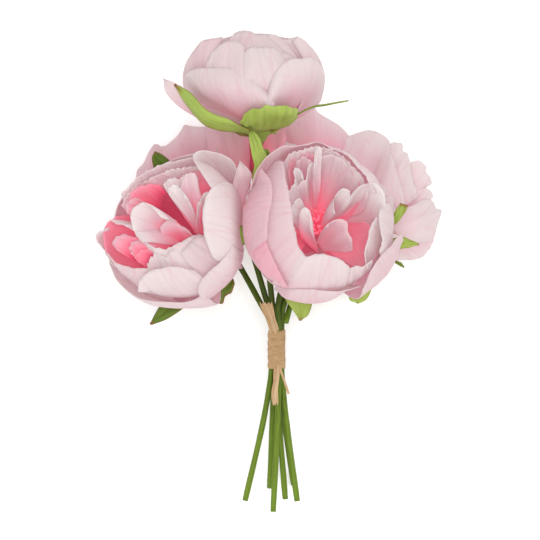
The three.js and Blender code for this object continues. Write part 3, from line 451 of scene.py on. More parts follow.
# Leaves under the top bloom and between the blooms, given as the petals are. root is where one of them
# comes from, where that isn't its calyx.
SHOWN_SEPALS = {
    "top": [
        dict(bow=(0, 0, 4), tone=0.4, ruffle=0.3, crease=0.3, lobes=(1, 0),
             left=[(252, 135, 4), (241, 132.6, 12), (231, 131.6, 18), (215, 129.5, 21), (203, 124.5, 22),
                   (197, 118.5, 21), (189, 108.4, 18), (181, 96.4, 14), (174.5, 84.7, 14)],
             right=[(250, 130, 24), (237, 124, 29), (228, 118.5, 31), (215, 114.5, 32), (204, 108, 30),
                    (196, 98, 25), (187, 89.5, 19), (179, 86, 15), (174.5, 84.7, 14)]),
        dict(bow=(0, 0, 5), tone=0.1, ruffle=0.5, crease=0.2, ribs=(7, 0.55),
             base=[(245, 132.1, 10), (255, 133, 12), (263, 131.4, 16), (271, 129.5, 19), (281, 128.3, 20),
                   (290, 124.5, 20), (297, 118, 18)],
             rim=[(240, 123, 31), (244.6, 115.3, 37), (250, 109.9, 41), (260.7, 108.6, 43.5),
                  (265.2, 105.7, 44), (272.1, 106.5, 43), (282.1, 105.4, 39), (287.4, 105.5, 35.5),
                  (291.3, 107.7, 31.5), (296.6, 107.9, 26), (299.3, 112, 20)]),
        dict(tone=0.1, dark=0.35, ruffle=0.1, crease=0.05, dent=0, lobes=(1, 0),
             left=[(288, 119, 0), (300, 112, 5), (308, 107.9, 6), (317, 105, 7), (324, 104.3, 8),
                   (334, 102.4, 8), (348.5, 100.3, 8)],
             right=[(288, 121, 0), (300.5, 113.6, 5), (308.3, 109.6, 6), (317.2, 106.8, 7), (324, 106, 8),
                    (334, 104, 8), (348.5, 101.2, 8)]),
    ],
    "middle_back": [
        dict(bow=(0, 0, 1.5), root=(300, 236, 46), tone=0.1, ruffle=0.2, lobes=(1, 0),
             left=[(252, 181, 62), (253, 173.4, 64), (254.5, 165, 65), (252.6, 157.4, 66),
                   (250.7, 145.9, 67), (249.6, 134.9, 67), (250.3, 130.6, 66)],
             right=[(259, 181, 61), (266, 170, 63), (267, 158, 65), (262.2, 147.4, 66), (259.1, 138.3, 67),
                    (253.8, 132.1, 67), (250.3, 130.6, 66)]),
        dict(root=(300, 236, 46), tone=0.1, dark=0.3, ruffle=0.2,
             left=[(262, 162, 52), (262.5, 154, 56), (263.7, 149, 57)],
             right=[(270, 160, 52), (269.8, 152.8, 56), (268.3, 149.4, 57)]),
    ],
    "left_front": [
        dict(bow=(0, 0, 1.5), tone=0.9, dark=0.9, ruffle=0.3,
             left=[(156, 180, -10), (153.9, 168.4, -7), (152.6, 158, -5), (155, 151.5, -5)],
             right=[(173, 175, -10), (171, 162.5, -7), (163, 156, -5), (155, 151.5, -5)]),
        dict(bow=(0, 0, 1.5), tone=0.9, dark=0.75,
             left=[(170, 300, -30), (158.3, 307.5, -26), (154, 316, -24), (150.5, 324.3, -22)],
             right=[(190, 303, -28), (179, 311.5, -25), (163, 321, -23), (150.5, 324.3, -22)]),
        dict(bow=(0, 0, 1), tone=0.9, dark=0.75, ruffle=0.5,
             base=[(205, 285, -26), (220, 280, -26), (232, 276, -26)],
             rim=[(199, 300, -22), (203, 304, -22), (208, 302, -22), (213, 306, -22), (217, 303, -22),
                  (222, 304.5, -22), (225, 297, -22), (231, 293.5, -22), (235, 284, -22)]),
        dict(bow=(0, 0, 2), root=(226, 246, -12), tone=0.3, dark=0.2, ruffle=0.2,
             left=[(240, 244, 12), (237, 238, 15), (237.5, 231, 17), (241, 225.6, 17)],
             right=[(247, 244, 12), (246, 239, 15), (245.5, 233, 17), (241, 225.6, 17)]),
    ],
    "right_front": [
        dict(bow=(0, 0, 2), tone=0.35, lobes=(1, 0),
             left=[(284, 280, -32), (283.5, 288, -26), (286.4, 302.3, -23), (291.3, 309, -22),
                   (300.5, 320.4, -20)],
             right=[(311, 284, -28), (312.5, 300, -22), (311.2, 307.3, -21.5), (307.9, 315.6, -21),
                    (300.5, 320.4, -20)]),
        dict(bow=(0, 0, 1), tone=0.2, ruffle=0.3,
             left=[(350, 284, -28), (348.5, 294, -26), (350.5, 300.5, -25), (357, 302.5, -25)],
             right=[(372, 282, -28), (371, 291, -26), (367, 299, -25), (357, 302.5, -25)]),
        dict(bow=(0, 0, 1), tone=0.7, ruffle=0.3, lobes=(1, 0),
             left=[(389, 225, -12), (394, 213.5, -9), (400.2, 203.1, -7)],
             right=[(391, 227, -12), (401.5, 217.5, -9), (407.5, 205.3, -7)]),
        dict(bow=(0, 0, 1), tone=0.7, ruffle=0.3,
             left=[(394, 238, -14), (403.8, 237.2, -12), (411.4, 240.3, -11), (419.1, 244.4, -11)],
             right=[(394, 251, -14), (402.8, 248.5, -12), (411.4, 246.4, -11), (419.1, 244.4, -11)]),
        dict(tone=0.9, dark=0.6, ruffle=0.1,
             left=[(392, 257, -18), (398, 261.5, -16), (401.2, 262.8, -15), (404.3, 267.3, -15)],
             right=[(391, 260, -18), (398, 264.5, -16), (401.2, 266.6, -15), (404.3, 267.3, -15)]),
    ],
}

# The raffia's loose ends: the broad start, the crumpled tail and a split strand
RAFFIA_ENDS = [
    dict(points=[(-1.2, 8.5, 3.9), (-1.6, 12.2, 5.6), (-3.7, 19, 7.2), (-6.5, 28, 7.6)],
         width=7.4, foot=0.62, twist=0.35, fold=0.9, pleats=5, ragged=0.8, tone=0.9),
    dict(points=[(0.3, -8.5, 3.9), (0.2, -12.5, 5.5), (-0.2, -19, 6.9), (-1.2, -26, 7.2), (-1, -33, 7.8)],
         width=3.9, foot=0.8, twist=0.5, fold=0.7, pleats=4, ragged=1, tone=0.9),
    dict(points=[(1.9, -8.5, 3.9), (2.4, -12, 5.5), (4.6, -18.5, 6.4), (7.3, -26.7, 7.8)],
         width=1.3, foot=1, twist=-0.4, fold=0.12, pleats=3, ragged=0.3, tone=0.8),
]


def stream(seed):
    """A repeatable stream of numbers from 0 to 1."""
    state = seed
    while True:
        state = (state * 1664525 + 1013904223) % 2**32
        yield state / 2**32


def smooth(low, high, x):
    """0 up to low and 1 from high, with an even passage."""
    t = np.clip((x - low) / (high - low), 0, 1)
    return t * t * (3 - 2 * t)


def unit(v):
    v = np.array(v, float)
    return v / np.linalg.norm(v)


# Frames: a bloom's own, the bunch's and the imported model's
def turn_z_to(facing):
    """The rotation that turns +Z to facing the shortest way."""
    turn = Vector((0, 0, 1)).rotation_difference(Vector(facing).normalized())
    return np.array(turn.to_matrix())


def bloom_frame(bloom):
    """The turn and the base of a bloom's own frame."""
    base = np.array(bloom["centre"], float) - unit(bloom["facing"]) * BALL_RISE * bloom["size"]
    return turn_z_to(bloom["facing"]), base


BUNCH_TURN = np.array(Matrix.Rotation(LIE_TILT, 3, "X"))
TABLE_WARD = np.array([0, -math.sin(LIE_TILT), -math.cos(LIE_TILT)])  # straight down, in the bunch's frame


def laid(points):
    """Points of the bunch's frame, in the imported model's frame, without its sideways shift."""
    return points @ BUNCH_TURN.T + np.array([0, 0, LIE_HEIGHT])


def cut_end(node):
    """The middle of a packed stem's cut end."""
    mesh = bpy.data.objects[node].data
    points = np.empty(len(mesh.vertices) * 3)
    mesh.vertices.foreach_get("co", points)
    points = np.unique(points.reshape(-1, 3).round(6), axis=0) / MM
    return points[points[:, 1].argsort()[:6]].mean(axis=0)


SHIFT = cut_end("stem_top") - laid(np.array([BLOOMS[0]["stem_end"]], float))[0]
SHIFT[2] = 0


def placed(points):
    """Points of the bunch's frame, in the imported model's frame and in metres."""
    return (laid(points) + SHIFT) * MM


# Petals
def middle_line(petal):
    """Stations along a petal's middle line: distance from the axis, height and tilt."""
    stations = np.zeros((LINE_STEPS + 1, 3))
    radius, height = petal["root"], petal["rise"]
    for i in range(LINE_STEPS + 1):
        tilt = math.radians(petal["start"] + (petal["end"] - petal["start"]) * (i / LINE_STEPS) ** 0.9)
        stations[i] = radius, height, tilt
        radius += math.cos(tilt) * petal["length"] / LINE_STEPS
        height += math.sin(tilt) * petal["length"] / LINE_STEPS
    return stations


def petal_points(petal, across, along):
    """Points of a petal's surface in its bloom's frame."""
    line = middle_line(petal)
    phase, waves = petal["phase"], petal["waves"]
    rim = 1 - petal["round"] * np.abs(across) ** 2.4 - petal["notch"] * np.exp(-((across / 0.2) ** 2))
    lobes = 0.5 - 0.5 * np.cos(5 * math.pi * across + phase)
    rim -= petal.get("scallop", 0) * lobes * smooth(0.3, 1, along)
    reach = np.clip(along * rim, 0, 1) * petal["reach"]
    stations = np.linspace(0, 1, LINE_STEPS + 1)
    radius, height, tilt = (np.interp(reach, stations, line[:, k]) for k in range(3))
    widening = np.sin(np.minimum(1, reach / petal["widest"]) * math.pi / 2)
    offset = petal["half"] * (petal["foot"] + (1 - petal["foot"]) * widening) * across
    wave = petal["ruffle"] * np.sin(waves * across + phase) * smooth(0.4, 1, along)
    fine = petal.get("frill", 0) * np.sin(waves * 3.1 * across + 2.3 * phase) * smooth(0.7, 1, along)
    curl = petal["roll"] * smooth(0.75, 1, along)
    crease = petal["crease"] * np.sin(petal["pleats"] * across + phase * 3) * smooth(0.15, 0.6, along)
    tucked = petal["tuck"] * (1 + across) * smooth(-0.05, 0.3, reach)
    inward = tucked + wave + fine + curl + crease
    bend = radius / petal["wrap"]
    swing = offset / bend
    out = (bend - np.sin(tilt) * inward) * np.cos(swing) + radius - bend
    side = (bend - np.sin(tilt) * inward) * np.sin(swing)
    up = height + np.cos(tilt) * inward
    c, s = math.cos(petal["azimuth"]), math.sin(petal["azimuth"])
    return np.stack([out * c - side * s, out * s + side * c, up], axis=-1)


def ring_petals(ring, bloom, level, random):
    """One ring's petals, each with its own small differences."""
    petals = []
    turn = math.radians(bloom["spin"] + level * RING_TURN)

    def vary(amount):
        return (next(random) - 0.5) * 2 * amount

    for i in range(ring["count"]):
        petal = dict(ring)
        petal["azimuth"] = turn + (i + vary(0.06)) * math.pi * 2 / ring["count"]
        petal["length"] = ring["length"] * bloom["size"]
        petal["reach"] = 1 - ring["uneven"] * (1 + vary(1))
        petal["half"] = ring["half"] * bloom["size"] * (1 + vary(0.04))
        petal["end"] = ring["end"] + bloom["open"] + vary(1.5)
        petal["phase"] = next(random) * math.pi * 2
        petal["waves"] = 2.5 + next(random) * 2
        petal["widest"] = PETAL_WIDEST
        petal["foot"] = PETAL_FOOT
        petals.append(petal)
    return petals


def pressed(points, planes):
    """Moves points back inside planes, softly, so that what lay outside still lies outside."""
    for normal, limit, give in planes:
        depth = points @ normal - (limit - give)
        push = np.where(depth > 0, give * (1 - np.exp(-np.maximum(depth, 0) / give)) - depth, 0)
        points = points + push[..., None] * normal
    return points


def ball_reach(bloom, direction):
    """How far the ball that a bloom fills reaches from its middle."""
    along = direction @ unit(bloom["facing"])
    radius, half = BALL_RADIUS * bloom["size"], BALL_HALF_HEIGHT * bloom["size"]
    return np.sqrt(radius**2 * (1 - along**2) + half**2 * along**2)


def pressing_planes(bloom, clear, give=NEIGHBOUR_GIVE):
    """The planes that a bloom stays behind, in the bunch's frame: one to each neighbour, and the table."""
    centre = np.array(bloom["centre"], float)
    planes = []
    for other in BLOOMS:
        if other is bloom:
            continue
        normal = np.array(other["centre"], float) - centre
        distance = np.linalg.norm(normal)
        normal /= distance
        mine, theirs = ball_reach(bloom, normal), ball_reach(other, normal)
        limit = centre @ normal + distance * mine / (mine + theirs) - clear
        limit += bloom.get("lead", 0) - other.get("lead", 0)
        planes.append((normal, limit, give))
    planes.append((TABLE_WARD, LIE_HEIGHT - TABLE_SKIN, TABLE_GIVE))
    return planes


def in_bloom(planes, bloom):
    """Planes of the bunch's frame, in a bloom's own."""
    turn, base = bloom_frame(bloom)
    return [(normal @ turn, limit - normal @ base, give) for normal, limit, give in planes]


# Meshes
def quads(rows, columns):
    """The faces of a grid of points, and its points' numbers."""
    index = np.arange(rows * columns).reshape(rows, columns)
    faces = np.stack([index[:-1, :-1], index[:-1, 1:], index[1:, 1:], index[1:, :-1]], axis=-1)
    return faces.reshape(-1, 4), index


def normals_of(points):
    """The unit normals of a grid of points."""
    normal = np.cross(np.gradient(points, axis=1), np.gradient(points, axis=0))
    return normal / (np.linalg.norm(normal, axis=-1, keepdims=True) + 1e-9)


class Builder:
    """Collects closed blades and tubes into one mesh, with the values that materials read."""

    def __init__(self):
        self.points, self.faces, self.uvs = [], [], []
        self.values = {key: [] for key in ("along", "across", "flush", "tone")}
        self.count = 0

    def add(self, points, faces, uvs, **values):
        self.points.append(points)
        self.faces.append(faces + self.count)
        self.uvs.append(uvs)
        for key in self.values:
            value = np.broadcast_to(values.get(key, 0), len(points))
            self.values[key].append(value.astype("float32"))
        self.count += len(points)

    def build(self, name, material, node):
        points, faces = np.concatenate(self.points), np.concatenate(self.faces)
        mesh = bpy.data.meshes.new(name)
        mesh.vertices.add(len(points))
        mesh.vertices.foreach_set("co", points.astype("float32").ravel())
        mesh.loops.add(faces.size)
        mesh.loops.foreach_set("vertex_index", faces.ravel().astype("int32"))
        mesh.polygons.add(len(faces))
        mesh.polygons.foreach_set("loop_start", np.arange(0, faces.size, 4, dtype="int32"))
        mesh.polygons.foreach_set("loop_total", np.full(len(faces), 4, dtype="int32"))
        mesh.update(calc_edges=True)
        uvs = np.concatenate(self.uvs)[faces.ravel()]
        mesh.uv_layers.new(name="strip").data.foreach_set("uv", uvs.astype("float32").ravel())
        for key, chunks in self.values.items():
            mesh.attributes.new(key, "FLOAT", "POINT").data.foreach_set("value", np.concatenate(chunks))
        mesh.shade_smooth()
        mesh.validate()
        piece = bpy.data.objects.new(name, mesh)
        bpy.context.scene.collection.objects.link(piece)
        mesh.materials.append(material)
        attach(piece, "root")
        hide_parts(node)
        return piece


def blade(builder, surface, cells, thickness, finish, uv_size, flush, tone):
    """Adds a closed blade of even thickness over a surface. finish takes its points to the model's frame."""
    columns, rows = cells[0] + 1, cells[1] + 1
    across, along = np.meshgrid(np.linspace(-1, 1, columns), np.linspace(0, 1, rows))
    middle = surface(across, along)
    half = normals_of(middle) * thickness / 2
    front, back = middle + half, middle - half
    points = finish(np.concatenate([front.reshape(-1, 3), back.reshape(-1, 3)]))
    front_faces, index = quads(rows, columns)
    far = rows * columns
    edge = np.concatenate([index[0, :], index[1:, -1], index[-1, -2::-1], index[-2:0:-1, 0]])
    nxt = np.roll(edge, -1)
    wall = np.stack([edge, edge + far, nxt + far, nxt], axis=-1)
    faces = np.concatenate([front_faces, front_faces[:, ::-1] + far, wall])
    uv = np.stack([across.ravel() * uv_size[0], along.ravel() * uv_size[1]], axis=-1)
    builder.add(points, faces, np.concatenate([uv, uv]), along=np.tile(along.ravel(), 2),
                across=np.tile(across.ravel(), 2), flush=np.tile(flush(across, along).ravel(), 2), tone=tone)


def from_bloom(bloom):
    """What takes points of a bloom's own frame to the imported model's."""
    turn, base = bloom_frame(bloom)
    return lambda points: placed(points @ turn.T + base)


def turned(builder, finish, profile, turns, **values):
    """Adds a form turned round its bloom's axis, from the radii and heights of its profile."""
    around = np.linspace(0, 2 * math.pi, turns + 1)
    profile = np.array(profile, float)
    radius, height = profile[:, :1], np.repeat(profile[:, 1:], turns + 1, axis=1)
    points = np.stack([radius * np.cos(around), radius * np.sin(around), height], axis=-1).reshape(-1, 3)
    builder.add(finish(points), quads(len(profile), turns + 1)[0], np.zeros((len(points), 2)), **values)


def dome(builder, bloom, finish):
    """The receptacle, under and between the petals' feet."""
    up = np.linspace(0, math.pi / 2 - 0.02, DOME_LEVELS)
    profile = np.stack([RECEPTACLE_RADIUS * np.cos(up), RECEPTACLE_HEIGHT * np.sin(up)], axis=-1)
    turned(builder, finish, profile * bloom["size"], DOME_TURNS, along=0.02, flush=0.8, tone=0.5)


def hermite(t, a, b, slope_a, slope_b):
    """The point at share t of a smooth line from a to b, from its slopes there."""
    return ((2 * t**3 - 3 * t**2 + 1) * a + (t**3 - 2 * t**2 + t) * slope_a
            + (3 * t**2 - 2 * t**3) * b + (t**3 - t**2) * slope_b)


def through(points, share):
    """A smooth line through points, at shares of its length."""
    points = np.array(points, float)
    steps = np.linalg.norm(np.diff(points, axis=0), axis=1)
    knots = np.concatenate([[0], np.cumsum(steps)]) / steps.sum()
    slopes = np.gradient(points, knots, axis=0)
    index = np.clip(np.searchsorted(knots, share, side="right") - 1, 0, len(points) - 2)
    width = (knots[index + 1] - knots[index])[..., None]
    t = ((share - knots[index])[..., None]) / width
    return hermite(t, points[index], points[index + 1], width * slopes[index], width * slopes[index + 1])


def wrapped_points(shown, bloom, rim, across, reach):
    """Points of a petal that wraps round its bloom's ball, from the base to its rim."""
    axis = unit(bloom["facing"])
    base = bloom_frame(bloom)[1]
    rise = (rim - base) @ axis
    out = rim - base - rise[..., None] * axis
    distance = np.linalg.norm(out, axis=-1)
    wrap = shown["wrap"] * (1 - shown.get("ends", 0) * smooth(0.35, 1, np.abs(across)))
    widest = 2 * np.maximum(1, BALL_RADIUS * bloom["size"] * wrap / distance) - 1
    full = reach**0.8
    swell = full * (1 - full) * (widest + np.sqrt(widest**2 - 1))
    return base + axis * (rise * reach)[..., None] + out * (reach + swell)[..., None]


def bowed_points(shown, bloom, rim, middle, across, reach):
    """Points of a petal that runs from its own foot to its rim and bows out on the way."""
    foot = seen(shown["foot"], bloom["centre"][2])
    bow = np.array(shown["bow"], float) * (PIXEL, -PIXEL, 1)
    run = middle - foot
    ahead = unit(run)
    side = rim - middle
    forward = side @ ahead
    sideways = side - forward[..., None] * ahead
    narrow = shown.get("narrow", 0.25)
    width = narrow + (1 - narrow) * np.sin(np.minimum(1, reach / shown.get("widest", 0.55)) * math.pi / 2)
    belly = 4 * reach * (1 - reach)
    spread = sideways * (width * (1 + 0.12 * belly))[..., None]
    return (foot + run * reach[..., None] + ahead * (forward * reach ** shown.get("taper", 2.5))[..., None]
            + spread + bow * (belly * (1 - 0.3 * across**2))[..., None])


def sheet_points(first, last, share, place, bow):
    """Points of a sheet from one line to another, at a share of the way and a place on both lines."""
    start, end = through(first, place), through(last, place)
    belly = 4 * share * (1 - share) * np.sqrt(np.sin(math.pi * np.clip(place, 0.02, 0.98)))
    return start + (end - start) * share[..., None] + bow * belly[..., None]


def shown_form(shown, bloom):
    """The plain form of a measured petal or leaf, as a function of across and of reach, and its length."""
    depth = bloom["centre"][2]
    names = [key for key in ("rim", "base", "left", "right") if key in shown]
    lines = {key: [seen(point, depth) for point in shown[key]] for key in names}
    bow = np.array(shown.get("bow", (0, 0, 0)), float) * (PIXEL, -PIXEL, 1)
    if "left" in lines:
        left, right = lines["left"], lines["right"]
        length = np.linalg.norm(left[-1] - left[0])
        return lambda across, reach: sheet_points(left, right, (across + 1) / 2, reach, bow), length
    rim = lines["rim"]
    middle = through(rim, np.array(0.5))
    if "base" in lines:
        base = lines["base"]
        length = np.linalg.norm(middle - through(base, np.array(0.5)))
        return lambda across, reach: sheet_points(base, rim, reach, (across + 1) / 2, bow), length

    def form(across, reach):
        ahead = through(rim, (across + 1) / 2)
        if "wrap" in shown:
            return wrapped_points(shown, bloom, ahead, across, reach)
        return bowed_points(shown, bloom, ahead, middle, across, reach)

    return form, np.linalg.norm(middle - seen(shown["foot"], depth))


def shown_surface(shown, bloom, phase, planes):
    """The surface of a petal or leaf that the photograph shows, in the bunch's frame."""
    form, length = shown_form(shown, bloom)
    lobes, deep = shown.get("lobes", (5, 0.4))
    deep = deep / length

    def surface(across, along):
        waves = 0.5 - 0.3 * np.cos(math.pi * lobes * across + phase) - 0.2 * np.cos(
            math.pi * lobes * 1.73 * across + 2.7 * phase)
        reach = along * (1 - deep * waves)
        points = form(across, reach)
        rim_share = smooth(0.45, 1, along)
        lift = shown.get("ruffle", 0.4) * rim_share * (
            0.6 * np.sin(4.1 * across + phase) + 0.35 * np.sin(9.3 * across + 2.1 * phase + 3 * along)
            + 0.15 * np.sin(21 * across + 5 * along + phase))
        pleat = shown.get("crease", 0.15) * smooth(0.1, 0.5, along) * np.sin(
            (7 + 2 * np.sin(phase)) * across + 1.3 * np.sin(5 * along + phase)) ** 3
        curl = shown.get("curl", 0.3) * smooth(0.8, 1, along) ** 2
        dent = shown.get("dent", 0.45) * smooth(0.05, 0.35, along) * (
            np.sin(2.3 * across + 4.7 * along + 3 * phase) * np.sin(3.9 * across - 5.3 * along + phase)
            + 0.5 * np.sin(6.1 * across + 7.9 * along + 5 * phase))
        ribs, rib_height = shown.get("ribs", (0, 0))
        rib = rib_height * np.cos(ribs * math.pi * across) * smooth(0.05, 0.3, along)
        return pressed(points + normals_of(points) * (lift + pleat + dent + rib - curl)[..., None], planes)

    return surface


def flush_of(shown, across, along):
    """How deep the pink is over a petal."""
    at_foot, at_rim = shown["flush"]
    left, right = shown.get("side", (0, 0))
    deep = at_rim + (at_foot - at_rim) * (1 - along) ** shown.get("fade", RING_FADE)
    return deep + (left * smooth(0, 1, -across) + right * smooth(0, 1, across)) * (1 - along * 0.4)


def make_petals(bloom, material):
    """A bloom's petals: its rings, drawn in behind the petals that the photograph shows, and those."""
    random = stream(bloom["seed"])
    builder = Builder()
    planes = in_bloom(pressing_planes(bloom, PETAL_CLEAR), bloom)
    shown_planes = pressing_planes(bloom, SHOWN_CLEAR, SHOWN_GIVE)
    finish = from_bloom(bloom)
    dome(builder, bloom, finish)
    reach, scale = BEHIND[bloom["name"]]
    middle = np.array([0, 0, BALL_RISE * bloom["size"]])
    under = TABLE_WARD @ bloom_frame(bloom)[0]
    for level, ring in enumerate(bloom["rings"]):
        for petal in ring_petals(ring, bloom, level, random):
            petal.update(frill=0.35 + 0.2 * level, crease=0.18, pleats=9, scallop=0.03 + 0.012 * level)
            petal["reach"] *= reach

            def surface(across, along, petal=petal):
                points = petal_points(petal, across, along)
                out = points - middle
                down = smooth(UNDER_FROM, UNDER_FULL, (out @ under) / np.linalg.norm(out, axis=-1))
                return pressed(points * (scale + (1 - scale) * down)[..., None], planes)

            uv_size = (petal["half"] / UV_SPAN, petal["length"] / UV_SPAN)
            blade(builder, surface, PETAL_CELLS, PETAL_THICKNESS, finish, uv_size,
                  lambda across, along, level=level: flush_of(dict(flush=RING_FLUSH[level]), across, along),
                  tone=(petal["phase"] * 7.3) % 1)
    for number, shown in enumerate(SHOWN[bloom["name"]]):
        phase = number * PETAL_STEP + bloom["seed"]
        line = shown.get("rim") or [shown["left"][0], shown["right"][0]]
        half = np.linalg.norm(seen(line[-1]) - seen(line[0])) / 2
        kept = shown_planes if "foot" in shown else []
        blade(builder, shown_surface(shown, bloom, phase, kept), SHOWN_CELLS, PETAL_THICKNESS, placed,
              (half / UV_SPAN, 1), lambda across, along, shown=shown: flush_of(shown, across, along),
              tone=(phase * 0.37) % 1)
    return builder.build(f"silk_petals_{bloom['name']}", material, f"petals_{bloom['name']}")


def hidden_way(shown, bloom):
    """The hidden part of a measured sepal: from the calyx round the bloom's ball to where it shows."""
    depth = bloom["centre"][2]
    ends = (shown["left"][0], shown["right"][0]) if "left" in shown else (shown["base"][0], shown["base"][-1])
    first, last = (seen(end, depth) for end in ends)
    centre = np.array(bloom["centre"], float)
    root = centre - unit(bloom["facing"]) * (BALL_RISE * bloom["size"] + WAY_DROP)
    if "root" in shown:
        root = seen(shown["root"], depth)
    foot = unit(last - first) * WAY_FOOT

    def surface(across, along):
        share = ((across + 1) / 2)[..., None]
        start = root + foot * (2 * share - 1)
        straight = start + (first + (last - first) * share - start) * along[..., None]
        out = straight - centre
        distance = np.linalg.norm(out, axis=-1)
        way = out / distance[..., None]
        short = 0 if "root" in shown else np.maximum(0, ball_reach(bloom, way) - distance)
        return straight + way * (short * np.sin(math.pi * along) ** 0.5)[..., None]

    return surface


def tube(builder, path, radii, sides, uv_length, **values):
    """A closed tube along a path, shut with a flat cap at each end."""
    path = np.array(path, float)
    tangent = np.gradient(path, axis=0)
    tangent /= np.linalg.norm(tangent, axis=1, keepdims=True)
    side = np.cross(tangent, (0.3, 0.2, 1))
    side /= np.linalg.norm(side, axis=1, keepdims=True)
    other = np.cross(tangent, side)
    turns = np.linspace(0, 2 * math.pi, sides + 1)
    ring = side[:, None] * np.cos(turns)[None, :, None] + other[:, None] * np.sin(turns)[None, :, None]
    points = path[:, None] + ring * np.array(radii, float)[:, None, None]
    first, last = (np.repeat(end[None, None], sides + 1, axis=1) for end in (path[0], path[-1]))
    points = np.concatenate([first, points, last])
    rows = len(points)
    along = np.repeat(np.linspace(0, 1, rows), sides + 1)
    around = np.tile(turns / (2 * math.pi), rows)
    uv = np.stack([around, along * uv_length], axis=-1)
    faces, _ = quads(rows, sides + 1)
    builder.add(placed(points.reshape(-1, 3)), faces, uv, along=along, across=around, **values)


def centripetal(points, share):
    """A Catmull-Rom line with centripetal knots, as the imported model's stems have."""
    points = np.array(points, float)
    ends = np.array([2 * points[0] - points[1], *points, 2 * points[-1] - points[-2]])
    count = len(points) - 1
    place = np.clip(np.array(share) * count, 0, count - 1e-6)
    first = place.astype(int)
    result = np.zeros((len(first), 3))
    for i, (k, t) in enumerate(zip(first, place - first)):
        p = ends[k:k + 4]
        gaps = np.sqrt(np.maximum(np.linalg.norm(np.diff(p, axis=0), axis=1), 1e-6))
        start = (p[1] - p[0]) / gaps[0] - (p[2] - p[0]) / (gaps[0] + gaps[1]) + (p[2] - p[1]) / gaps[1]
        finish = (p[2] - p[1]) / gaps[1] - (p[3] - p[1]) / (gaps[1] + gaps[2]) + (p[3] - p[2]) / gaps[2]
        result[i] = hermite(t, p[1], p[2], start * gaps[1], finish * gaps[1])
    return result


def stem_points(bloom):
    """A stem's middle line, from its calyx through the binding to its cut end."""
    facing = unit(bloom["facing"])
    top = bloom_frame(bloom)[1] + facing * (CUP_BOTTOM - TOUCH_GAP)
    neck = top - facing * STEM_NECK
    x, z = (place * SLOT_PITCH for place in bloom["slot"])
    entry = BINDING_LENGTH / 2 + STEM_STRAIGHT
    leaving = np.array([x, -entry, z])
    end = np.array(bloom["stem_end"], float)
    below = leaving + (end - leaving) * SPREAD_BELOW
    below += (leaving - end) * np.array([BOW_BELOW, 0, BOW_BELOW])
    points = [top, neck, bloom["above"], (x, entry, z), (x, 0, z), leaving, below, end]
    return centripetal(points, np.linspace(0, 1, STEM_STEPS))


def make_stem(bloom, material):
    """A stem, with the cut spur where it has one."""
    builder = Builder()
    path = stem_points(bloom)
    tone = (bloom["seed"] * 0.37) % 1
    knobs = 1 + STEM_KNOBS * np.sin(np.arange(STEM_STEPS) * 0.9 + bloom["seed"])
    radii = STEM_RADIUS * knobs * (1 - STEM_PINCH * np.exp(-(path[:, 1] / BINDING_LENGTH) ** 4))
    radii[0] *= 0.9
    radii[-1] *= 0.94
    tube(builder, path, radii, STEM_SIDES, 14, tone=tone)
    if "spur" in bloom:
        path = through(bloom["spur"], np.linspace(0, 1, SPUR_STEPS))
        tube(builder, path, np.full(SPUR_STEPS, STEM_RADIUS), STEM_SIDES, 2, tone=tone)
    return builder.build(f"green_stem_{bloom['name']}", material, f"stem_{bloom['name']}")


def make_calyx(bloom, material):
    """A cup under the bloom, with leafy sepals."""
    random = stream(bloom["seed"] + 500)
    builder = Builder()
    finish = from_bloom(bloom)
    planes = in_bloom(pressing_planes(bloom, SEPAL_CLEAR), bloom)
    turned(builder, finish, CUP, CUP_TURNS, along=0.1, flush=0.3, tone=0.4)
    turn, _ = bloom_frame(bloom)
    for toward, end, share in bloom["sepals"]:
        local = np.array(toward, float) @ turn
        sepal = dict(SEPAL, end=end, azimuth=math.atan2(local[1], local[0]))
        sepal["length"] *= bloom["size"] * share
        sepal.update(phase=next(random) * math.pi * 2, waves=4 + next(random))
        tone = (sepal["phase"] * 3.7) % 1

        def surface(across, along, sepal=sepal):
            return pressed(petal_points(sepal, across, along), planes)

        blade(builder, surface, SEPAL_CELLS, SEPAL_THICKNESS, finish, (0.4, 1), lambda u, v: 0 * u, tone=tone)
    for number, shown in enumerate(SHOWN_SEPALS.get(bloom["name"], [])):
        phase = number * SEPAL_STEP + bloom["seed"]

        def dark(across, along, shown=shown):
            return shown.get("dark", 0) + 0 * across

        surface, tone = shown_surface(shown, bloom, phase, []), shown.get("tone", 0.5)
        blade(builder, surface, SHOWN_SEPAL_CELLS, SEPAL_THICKNESS, placed, (0.4, 1), dark, tone)
        if bloom["name"] in WITH_WAYS:
            way = hidden_way(shown, bloom)
            blade(builder, way, WAY_CELLS, SEPAL_THICKNESS, placed, (0.3, 0.6), dark, 0)
    return builder.build(f"leaf_calyx_{bloom['name']}", material, f"calyx_{bloom['name']}")


